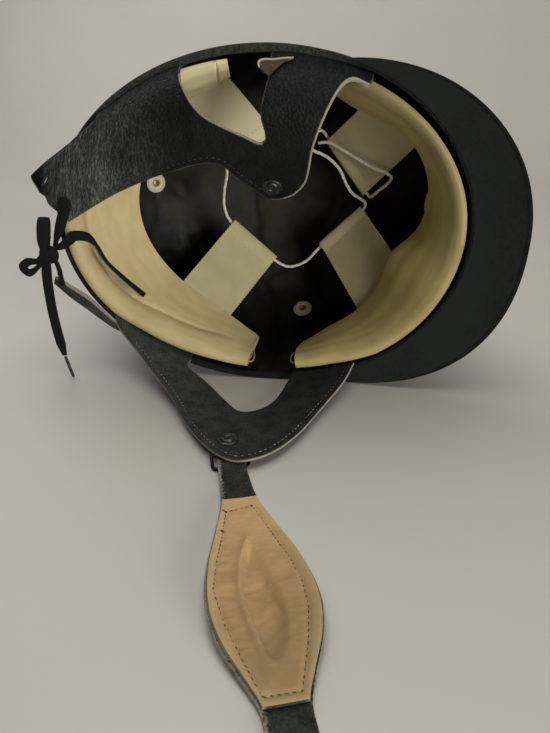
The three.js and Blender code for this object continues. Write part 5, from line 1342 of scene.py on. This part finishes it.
def strap_surface(side, along, lift=0.0):
    """Place on the strap for a distance to its side and along it."""
    across = side / strap_half(along)
    x = STRAP_TOP[0] + STRAP_WAY[0] * along - STRAP_WAY[1] * side + LYING_SHIFT[0]
    y = STRAP_TOP[1] + STRAP_WAY[1] * along + STRAP_WAY[0] * side + LYING_SHIFT[1]
    height = np.interp(along, STRAP["along"], STRAP["height"])
    z = height + eased(along, STRAP["along"], STRAP["dish"]) * across ** 2 + lift
    return np.stack([x, y, z], axis=-1) / 1000


along = np.linspace(STRAP["along"][0], STRAP["along"][-1], 120)
right_side = np.stack([strap_half(along), along], axis=1)
left_side = right_side[::-1] * (-1, 1)
outline = closed_outline([right_side, left_side], 1.2)
bare = [(right_side, 0.62, 3.5), (left_side, 1.0, 4.5)]
points, faces, kinds, flat, pale = cut_leather(outline, strap_surface, STRAP_HALF, face=-1, pale=bare)
add_piece("chin_strap_leather", points, faces, [suede, grain_leather, raw_edge], kinds, flat, {"pale": pale},
          replaces=["chin_strap"])


# Chin cup: a pad of soft buff leather, sewn onto the cup of the strap round its edge with dark thread. The
# chin has pressed a long hollow into it, with a ridge beside it and creases across.
CUP_FROM = 0.0
CUP_TO = 105.0
CUP_MARGIN = 0.9
CUP_HALF = 0.9
CUP_LIFT = 2.4
CUP_PUFF = 1.3
CUP_PUFF_OVER = 7.0
CUP_GROOVE = 0.45
CUP_GROOVE_HALF = 0.8
CUP_HOLLOW = 2.6
CUP_BANKS = (3.2, 6.5)
CUP_RIDGE_HEIGHT = 1.25
CUP_RIDGE_HALF = 1.5
CUP_BUMP_HALF = (3.6, 5.0)
CUP_CREASE = 0.6
CUP_CREASE_HALF = 1.1
CUP_PULL = 0.58
CUP_UNEVEN = 0.3
CUP_SEAM = [(-7.4, 9.3), (4.8, 6.8), (7.9, 17.9), (11, 31), (14.3, 44.1), (16.2, 58), (15.8, 70),
            (12.5, 83.4), (6, 101.8),
            (-7.2, 101.7), (-11.5, 88), (-16, 72), (-18.1, 57), (-15.2, 42), (-10.6, 24)]
CUP_RIDGE = [(-0.9, 29), (-5.4, 40), (-7.4, 48), (-8.6, 58), (-8.4, 66), (-7.2, 74), (-6, 81), (-3.6, 89),
             (0.4, 93)]
CUP_BROW = [(-0.9, 29), (2.6, 36), (5.4, 45), (7.4, 56), (8.6, 67), (7.8, 77), (5.6, 86), (0.4, 93)]
CUP_KNOTS = [(-7.4, 9.6), (-10.0, 23.6)]
CUP_KNOT_HALF = 0.9
CUP_BUMPS = [(-0.8, 49.5, 0.9), (1.6, 66.5, 1.1), (-1.2, 85, 0.9), (-3.5, 76, 0.5)]
CUP_CREASES = [[(-7.3, 57), (-2, 55.6), (2.6, 54)], [(3.2, 62.5), (4.6, 66), (5.4, 69.6)],
               [(-6.3, 74.5), (-2, 72), (2.4, 69)]]


def cup_surface(side, along):
    return strap_surface(side, along, CUP_LIFT)


def cup_swell(flat, depth):
    """Softness of the pad: full inside its seam, with a long hollow, a ridge beside it and creases."""
    side, along = flat[:, 0], flat[:, 1]
    from_seam = edge_distance(flat, [cup_seam])
    puff = CUP_PUFF * np.where(inside_of(flat, cup_seam), np.clip(from_seam / CUP_PUFF_OVER, 0, 1) ** 0.6, 0)
    groove = -CUP_GROOVE * np.exp(-((from_seam / CUP_GROOVE_HALF) ** 2))
    ridge_line = spline(CUP_RIDGE, 6)
    brow_line = spline(CUP_BROW, 6)
    from_ridge = line_distance(flat, [ridge_line])
    within = inside_of(flat, np.vstack([ridge_line, brow_line[::-1]]))
    from_brow = line_distance(flat, [brow_line])
    sunk = np.clip(from_ridge / CUP_BANKS[0], 0, 1) * np.clip(from_brow / CUP_BANKS[1], 0, 1) * within
    hollow = -CUP_HOLLOW * sunk ** 2 * (3 - 2 * sunk)
    ridge = CUP_RIDGE_HEIGHT * np.exp(-((from_ridge / CUP_RIDGE_HALF) ** 2))
    ridge *= np.clip((92 - along) / 12, 0, 1)
    wide, long = CUP_BUMP_HALF
    bumps = sum(h * np.exp(-(((side - s) / wide) ** 2) - ((along - a) / long) ** 2) for s, a, h in CUP_BUMPS)
    from_crease = line_distance(flat, [spline(crease, 6) for crease in CUP_CREASES])
    creases = bumps - CUP_CREASE * np.exp(-((from_crease / CUP_CREASE_HALF) ** 2))
    pulled = lumps(np.stack([0.25 * side, along, 0 * side], axis=1), 2.2, 13.0)
    pulled *= np.clip((-side - 7) / 4, 0, 1)
    soft = lumps(np.stack([side, along, 0 * side], axis=1), 9.0, 15.0)
    inner = np.clip(depth / 5, 0, 1)
    return puff + groove + hollow + ridge + creases + (CUP_PULL * pulled + CUP_UNEVEN * soft) * inner


# Buff chamois leather: tan and soft, a little paler at its edge, darker and greasy towards the free end.
buff, tree = new_material("buff chamois leather")
flat = add_node(tree, "Attribute", attribute_name="flat").outputs["Vector"]
spot = add_node(tree, "SeparateXYZ", {0: flat})
level = add_node(tree, "VectorMath", {0: flat, 1: (1.0, 1.0, 0.0)}, operation="MULTIPLY")
fibre = add_node(tree, "TexNoise", {"Vector": level, "Scale": 1 / 1.1, "Detail": 4.0})
clouds = add_node(tree, "TexNoise", {"Vector": level, "Scale": 1 / 13.0, "Detail": 5.0})
brushed = add_node(tree, "Mapping", {
    "Vector": level, "Rotation": (0, 0, math.radians(35)), "Scale": (0.3, 1.0, 1.0)})
nap = add_node(tree, "TexNoise", {"Vector": brushed, "Scale": 1 / 1.5, "Detail": 4.0})
tone = add_node(tree, "MapRange", {"Value": spot.outputs["Y"], "From Min": 5.0, "From Max": 95.0})
mottled = add_node(tree, "Math", {0: nap, 1: 0.6, 2: clouds}, operation="MULTIPLY_ADD")
patchy = add_node(tree, "Math", {0: mottled, 1: 0.8}, operation="SUBTRACT")
tone = add_node(tree, "Math", {0: tone, 1: patchy}, operation="ADD")
tone = add_node(tree, "ValToRGB", {"Fac": tone},
                stops=[(0.0, "#C09C66"), (0.45, "#AA8958"), (1.0, "#8F7246")])
rim_share = add_node(tree, "MapRange", {
    "Value": spot.outputs["Z"], "From Min": 1.5, "From Max": 5.0, "To Min": 0.3, "To Max": 0.0})
edged = add_node(tree, "Mix", {0: rim_share, 6: tone, 7: linear("#BFA578")}, data_type="RGBA")
bump = add_node(tree, "Bump", {"Height": fibre, "Strength": 0.2, "Distance": 0.0003})
shader = add_node(tree, "BsdfPrincipled", {
    "Base Color": edged, "Roughness": 0.72, "Sheen Weight": 0.1, "Normal": bump})
add_node(tree, "OutputMaterial", {"Surface": shader})

along = np.linspace(CUP_FROM, CUP_TO, 90)
right_side = np.stack([strap_half(along) - CUP_MARGIN, along], axis=1)
left_side = right_side[::-1] * (-1, 1)
cup_outline = closed_outline([right_side, left_side], 1.0)
cup_seam = closed_outline([CUP_SEAM[1:9], CUP_SEAM[9:] + CUP_SEAM[:1]], 1.0)
bare = [(right_side, 0.7, PALE_WIDTH), (left_side, 0.7, PALE_WIDTH)]
points, faces, kinds, flat, pale = cut_leather(cup_outline, cup_surface, CUP_HALF, swell=cup_swell, face=-1,
                                               pale=bare)
cup = add_piece("chin_cup_pad", points, faces, [buff, flesh, raw_edge], kinds, flat, {"pale": pale},
                replaces=["chin_cup"])

# Brown waxed thread for the cup's seam: dull, and darker than the leather it is sunk in.
dark_thread = mottled_material("waxed brown linen thread", 1000 / 1.4, 3.0,
                               [(0.3, "#33251A"), (0.7, "#584228")],
                               {"Roughness": 0.8})

sewn = seam_on(cup_surface, np.vstack([cup_seam, cup_seam[:1]]), CUP_HALF - 0.3, face=-1)
sew("chin_cup_stitches", [sewn], dark_thread, length=1.8, pitch=2.5, radius=0.2)
knots = [np.array([knot]) + np.array([[-CUP_KNOT_HALF], [CUP_KNOT_HALF]]) for knot in CUP_KNOTS]
knots = [seam_on(cup_surface, even(knot, 0.5), CUP_HALF - 0.1, face=-1) for knot in knots]
sew("chin_cup_knots", knots, dark_thread, length=1.5, pitch=0.7, radius=0.4)


# Keeper: a loop of dark steel wire round the strap, which hangs it from the tip of the left Y. It is bent to
# a long ring with rounded corners.
KEEPER_RADIUS = 0.9
KEEPER_AT = -33.0
KEEPER_SIDE = 9.2
KEEPER_AHEAD = 4.4
KEEPER_CORNER = 2.2
KEEPER_LOW = 1.1
KEEPER_HIGH = 3.75

# Steel wire: dark, drawn smooth, with a thin dull shine and a little rust.
wire = mottled_material("dark drawn steel wire", 1000 / 2.5, 5.0, [(0.4, "#161513"), (0.75, "#2E2720")],
                        {"Roughness": 0.45, "Metallic": 0.9})

straight = KEEPER_AHEAD - KEEPER_CORNER
wide = KEEPER_SIDE - KEEPER_CORNER
corner = np.linspace(0, math.pi / 2, 9)
ring = []
for quarter, (ahead,
              side) in enumerate(((straight, wide), (-straight, wide), (-straight, -wide),
                                  (straight, -wide))):
    turn = corner + quarter * math.pi / 2
    ring += [(side + KEEPER_CORNER * s, ahead + KEEPER_CORNER * c)
             for s, c in zip(np.sin(turn), np.cos(turn))]
ring = np.array(ring)
heights = KEEPER_HIGH + (KEEPER_LOW - KEEPER_HIGH) * (ring[:, 1] + KEEPER_AHEAD) / (2 * KEEPER_AHEAD)
x = STRAP_TOP[0] + STRAP_WAY[0] * (KEEPER_AT + ring[:, 1]) - STRAP_WAY[1] * ring[:, 0] + LYING_SHIFT[0]
y = STRAP_TOP[1] + STRAP_WAY[1] * (KEEPER_AT + ring[:, 1]) + STRAP_WAY[0] * ring[:, 0] + LYING_SHIFT[1]
path = np.stack([x, y, heights], axis=1)
way = unit(np.roll(path, -1, axis=0) - np.roll(path, 1, axis=0))
side = unit(np.cross([0, 0, 1.0], way))
up = np.cross(way, side)
around = np.linspace(0, 2 * math.pi, 14, endpoint=False)
circle = side[:, None] * np.cos(around)[None, :, None] + up[:, None] * np.sin(around)[None, :, None]
points, faces = skin((path[:, None] + KEEPER_RADIUS * circle) / 1000, loop=True)
add_piece("keeper_wire", points, faces, [wire], replaces=["keeper"])


# Nape lace: a flat black boot lace through the ends of the two nape arms, tied in a bow. One strand runs on
# over the rear headband, and the other hangs down and ends in its tag.
LACE_WIDTH = 6.4
LACE_BUNCHED = 3.0
LACE_LOOP = 5.0
LACE_THICKNESS = 1.2
OUT = (0, 0, -1)
LACE_UPPER = [
    ((-108.4, -18.0, -12.3), OUT, 2.4), ((-108.6, -17.4, -12.4), OUT, 5.6),
    ((-109.0, -16.0, -12.6), OUT, 6.8),
    ((-110.4, -10.5, -13.4), OUT, LACE_WIDTH),
    ((-114.2, -1.5, -12.9), OUT, LACE_WIDTH), ((-118.4, 7.0, -12.0), OUT, LACE_BUNCHED),
    ((-119.8, 11.6, -10.4), OUT, LACE_BUNCHED), ((-116.8, 11.0, -8.4), OUT, 4.6),
    ((-112.4, 7.6, -5.6), (0.5, 0, -0.86), LACE_WIDTH),
]
LACE_ON_BAND = [
    (176.5, 0.07, 6.3, LACE_WIDTH), (175.4, 0.2, 7.3, 5.6), (172.2, 0.28, 7.0, 2.2),
    (165.7, 0.32, 6.2, 2.0), (157.9, 0.39, 5.6, 2.6), (147.9, 0.42, 6.2, 3.4),
]
LACE_LOWER = [
    ((-119.8, 35.6, -8.9), (0.21, -0.54, -0.81), LACE_BUNCHED),
    ((-119.4, 30.4, -10.8), (0.6, -0.3, -0.7), LACE_BUNCHED),
    ((-119.2, 23.6, -12.4), OUT, LACE_BUNCHED), ((-120.6, 18.6, -13.3), OUT, LACE_BUNCHED),
    ((-124.0, 18.0, -13.6), OUT, LACE_BUNCHED), ((-126.2, 23.5, -13.6), OUT, LACE_WIDTH),
    ((-127.3, 36.0, -13.2), OUT, LACE_WIDTH), ((-127.6, 50.0, -12.4), OUT, LACE_WIDTH),
    ((-127.0, 64.0, -11.6), OUT, LACE_WIDTH), ((-126.0, 74.0, -11.2), OUT, LACE_WIDTH),
    ((-124.4, 81.6, -11.8), OUT, LACE_BUNCHED),
]
LACE_BOW = [
    ((-122.6, 12.0, -16.2), (0, 0, 1), LACE_BUNCHED), ((-122.7, 4.0, -15.6), (0, 0, 1), LACE_WIDTH),
    ((-121.5, -5.0, -15.6), (0, 0, 1), LACE_WIDTH), ((-121.2, -7.4, -17.3), (0, -1, 0), LACE_WIDTH),
    ((-121.6, -5.0, -19.0), OUT, LACE_WIDTH), ((-123.2, 5.0, -19.4), OUT, LACE_WIDTH),
    ((-124.2, 13.0, -19.2), OUT, LACE_BUNCHED), ((-128.6, 17.6, -18.8), OUT, LACE_BUNCHED),
    ((-134.6, 18.6, -18.6), OUT, LACE_LOOP), ((-138.4, 22.0, -18.4), OUT, LACE_LOOP),
    ((-135.6, 25.4, -17.8), OUT, LACE_LOOP), ((-131.2, 23.2, -16.8), OUT, LACE_BUNCHED),
    ((-126.6, 18.2, -16.4), OUT, LACE_BUNCHED),
]
LACE_KNOT = (-121.8, 14.2, -16.5)
LACE_WRAPS = [(20, 5.4, 2.1, 6.0), (84, 5.0, 2.5, 5.4), (146, 5.2, 2.9, 5.0)]
LACE_TIP = [(-124.05, 82.16, -12.15), (-117.0, 93.2, -19.2)]
LACE_TIP_RADIUS = 1.0
LACE_TIP_ROUND = 0.6
LACE_SIDES = 18


def lace_rings(rows, steps):
    """Rings of a flat lace through rows of place, facing and width, with its line and flat coordinates."""
    line = spline([row[0] for row in rows], steps)
    at = np.linspace(0, len(rows) - 1, len(line))
    index = np.arange(len(rows))
    facing = np.stack([np.interp(at, index, [row[1][k] for row in rows]) for k in range(3)], axis=1)
    width = np.interp(at, index, [row[2] for row in rows])
    way = unit(np.gradient(line, axis=0))
    wide = unit(np.cross(way, facing))
    thin = np.cross(wide, way)
    around = (np.arange(LACE_SIDES) + 0.5) * 2 * math.pi / LACE_SIDES
    across = np.cos(around)
    depth = np.sign(np.sin(around)) * np.abs(np.sin(around)) ** 0.6
    rings = line[:, None] + wide[:, None] * (width[:, None] / 2 * across)[..., None]
    rings = rings + thin[:, None] * (LACE_THICKNESS / 2 * depth)[None, :, None]
    run = run_along(line)
    flat = flat_grid(run, LACE_WIDTH / 2 * across)
    return rings, line, flat.reshape(-1, 3)


# Braided cotton lace: dull black, with a fine diagonal braid along its length.
lace_cloth, tree = new_material("braided black cotton")
flat = add_node(tree, "Attribute", attribute_name="flat").outputs["Vector"]
slant = add_node(tree, "Mapping", {"Vector": flat, "Rotation": (0, 0, math.radians(45))})
braid = add_node(tree, "TexWave", {"Vector": slant, "Scale": math.pi / 10 / 0.9})
cross = add_node(tree, "TexWave", {"Vector": slant, "Scale": math.pi / 10 / 0.9}, bands_direction="Y")
weave = add_node(tree, "Math", {0: braid.outputs["Fac"], 1: cross.outputs["Fac"]}, operation="MAXIMUM")
tone = add_node(tree, "ValToRGB", {"Fac": weave}, stops=[(0.2, "#050606"), (1.0, "#121413")])
bump = add_node(tree, "Bump", {"Height": weave, "Strength": 0.6, "Distance": 0.0003})
shader = add_node(tree, "BsdfPrincipled", {
    "Base Color": tone, "Roughness": 0.9, "Specular IOR Level": 0.25, "Normal": bump})
add_node(tree, "OutputMaterial", {"Surface": shader})

# Clear plastic tag over black braid: dark, smooth and shiny.
tag = mottled_material("clear lace tag", 1000 / 1.5, 2.0, [(0.3, "#17181A"), (0.8, "#4A4A4A")],
                       {"Roughness": 0.22, "IOR": 1.49})

rear_band = BANDS["headband_rear"]
upper_rows = list(LACE_UPPER)
for angle, share, lift, width in LACE_ON_BAND:
    spot = band_point(rear_band, angle, share, lift)
    upper_rows.append((spot, spot - band_point(rear_band, angle, share, lift - 1), width))
rings, _ = round_rings(even(np.array(LACE_TIP), 1.0), LACE_TIP_RADIUS, 16)
tip_ends = rings[[0, -1]]
tip_middles = tip_ends.mean(1, keepdims=True)
rings[[0, -1]] = tip_middles + LACE_TIP_ROUND * (tip_ends - tip_middles)
points, faces = skin(to_row(rings))
lace_tag = add_piece("lace_tag", points, faces, [tag], replaces=["lace_tip"])
for name, rows, far_end, extra in (("lace_upper", upper_rows, "bare", []),
                                   ("lace_lower", LACE_LOWER, "fitting", [lace_tag]),
                                   ("lace_bow", LACE_BOW, "knot", [])):
    rings, line, flat = lace_rings(rows, 14)
    points, faces = skin(to_row(rings))
    piece = add_piece(name + "_braid", points, faces, [lace_cloth], flat=flat, sharp=60,
                      replaces=[name])
    length = np.linalg.norm(np.diff(line, axis=0), axis=1).sum() / 1000
knot_points, knot_faces, knot_flat = [], [], []
for heading, reach, rise, width in LACE_WRAPS:
    turn = np.linspace(0, 2 * math.pi, 40, endpoint=False)
    over = np.array([math.cos(math.radians(heading)), math.sin(math.radians(heading)), 0.0])
    beside = np.array([-over[1], over[0], 0.0])
    out = np.cos(turn)[:, None] * over * reach + np.sin(turn)[:, None] * np.array(OUT) * rise
    thick = 1 + 0.5 * LACE_THICKNESS / np.linalg.norm(out, axis=1, keepdims=True)
    across = np.linspace(-0.5, 0.5, 7) * width
    sag = 1 - 0.5 * (across / width) ** 2
    sideways = beside * across[None, :, None]
    outer = np.array(LACE_KNOT) + (out * thick)[:, None] * sag[None, :, None] + sideways
    inner = np.array(LACE_KNOT) + (out * (2 - thick))[:, None] * sag[None, :, None] + sideways
    points, faces = skin(to_row(np.concatenate([outer, inner[:, ::-1]], axis=1)), loop=True)
    knot_faces += [tuple(i + sum(len(p) for p in knot_points) for i in face) for face in faces]
    knot_points.append(points)
    run = turn * (reach + rise) / 2
    knot_flat.append(flat_grid(run, np.concatenate([across, across[::-1]])).reshape(-1, 3))
add_piece("lace_knot", np.vstack(knot_points), knot_faces, [lace_cloth], flat=np.vstack(knot_flat), sharp=60)


# Table: a board painted a pale warm grey, which sweeps up behind the helmet in one curve. Three soft white
# lamps light it, one above, one low in front on the right and one behind on the left.
FLOOR_HALF = 1.6
SWEEP_START = 0.75
SWEEP_RADIUS = 0.6
SWEEP_TOP = 1.2

# Painted board: smooth and pale, with the faintest clouds in its grey.
painted_board = mottled_material("pale painted board", 3.0, 3.0, [(0.3, "#BAB6AC"), (0.7, "#BFBBB1")],
                                 {"Roughness": 0.5})
bend = np.linspace(0, math.pi / 2, 24)
profile = [(-FLOOR_HALF, 0.0)] + [(SWEEP_START + SWEEP_RADIUS * math.sin(t),
                                   SWEEP_RADIUS * (1 - math.cos(t))) for t in bend]
profile.append((SWEEP_START + SWEEP_RADIUS, SWEEP_TOP))
corners = [(x, y, z) for y, z in profile for x in (-FLOOR_HALF, FLOOR_HALF)]
board_faces = [(2 * i, 2 * i + 1, 2 * i + 3, 2 * i + 2) for i in range(len(profile) - 1)]
board_mesh = bpy.data.meshes.new("table")
board_mesh.from_pydata(corners, [], board_faces)
board_mesh.materials.append(painted_board)
board_mesh.shade_smooth()
board = bpy.data.objects.new("table", board_mesh)
bpy.context.scene.collection.objects.link(board)

LIGHTS = {
    "key": ((0.8, -0.95, 0.2), 0.5, 14.6),
    "above": ((0.0, 0.1, 1.7), 1.6, 19.0),
    "back": ((-0.8, 0.8, 1.1), 1.2, 6.6),
}
AIM = Vector((0.0, 0.02, 0.08))
ROOM_STRENGTH = 0.03
for name, (spot, size, power) in LIGHTS.items():
    lamp = bpy.data.lights.new(name, "AREA")
    lamp.size = size
    lamp.energy = power
    holder = bpy.data.objects.new(name, lamp)
    holder.location = spot
    holder.rotation_euler = (AIM - Vector(spot)).to_track_quat("-Z", "Y").to_euler()
    bpy.context.scene.collection.objects.link(holder)
world = bpy.data.worlds.new("soft room")
world.use_nodes = True
world.node_tree.nodes["Background"].inputs["Color"].default_value = linear("#D8D6D2")
world.node_tree.nodes["Background"].inputs["Strength"].default_value = ROOM_STRENGTH
bpy.context.scene.world = world
bpy.context.scene.view_settings.view_transform = "Standard"

# Camera: above the strap's end and a little to the right, looking down into the opening.
CAMERA_PLACE = (0.04544, -0.29034, 0.186)
CAMERA_TILT = 64
CAMERA_TURN = 7
CAMERA_LENS = 41.5
camera_data = bpy.data.cameras.new("camera")
camera_data.sensor_fit = "HORIZONTAL"
camera_data.sensor_width = 36.0
camera_data.lens = CAMERA_LENS
camera = bpy.data.objects.new("camera", camera_data)
camera.location = CAMERA_PLACE
camera.rotation_euler = (math.radians(CAMERA_TILT), 0.0, math.radians(CAMERA_TURN))
bpy.context.scene.collection.objects.link(camera)
bpy.context.scene.camera = camera
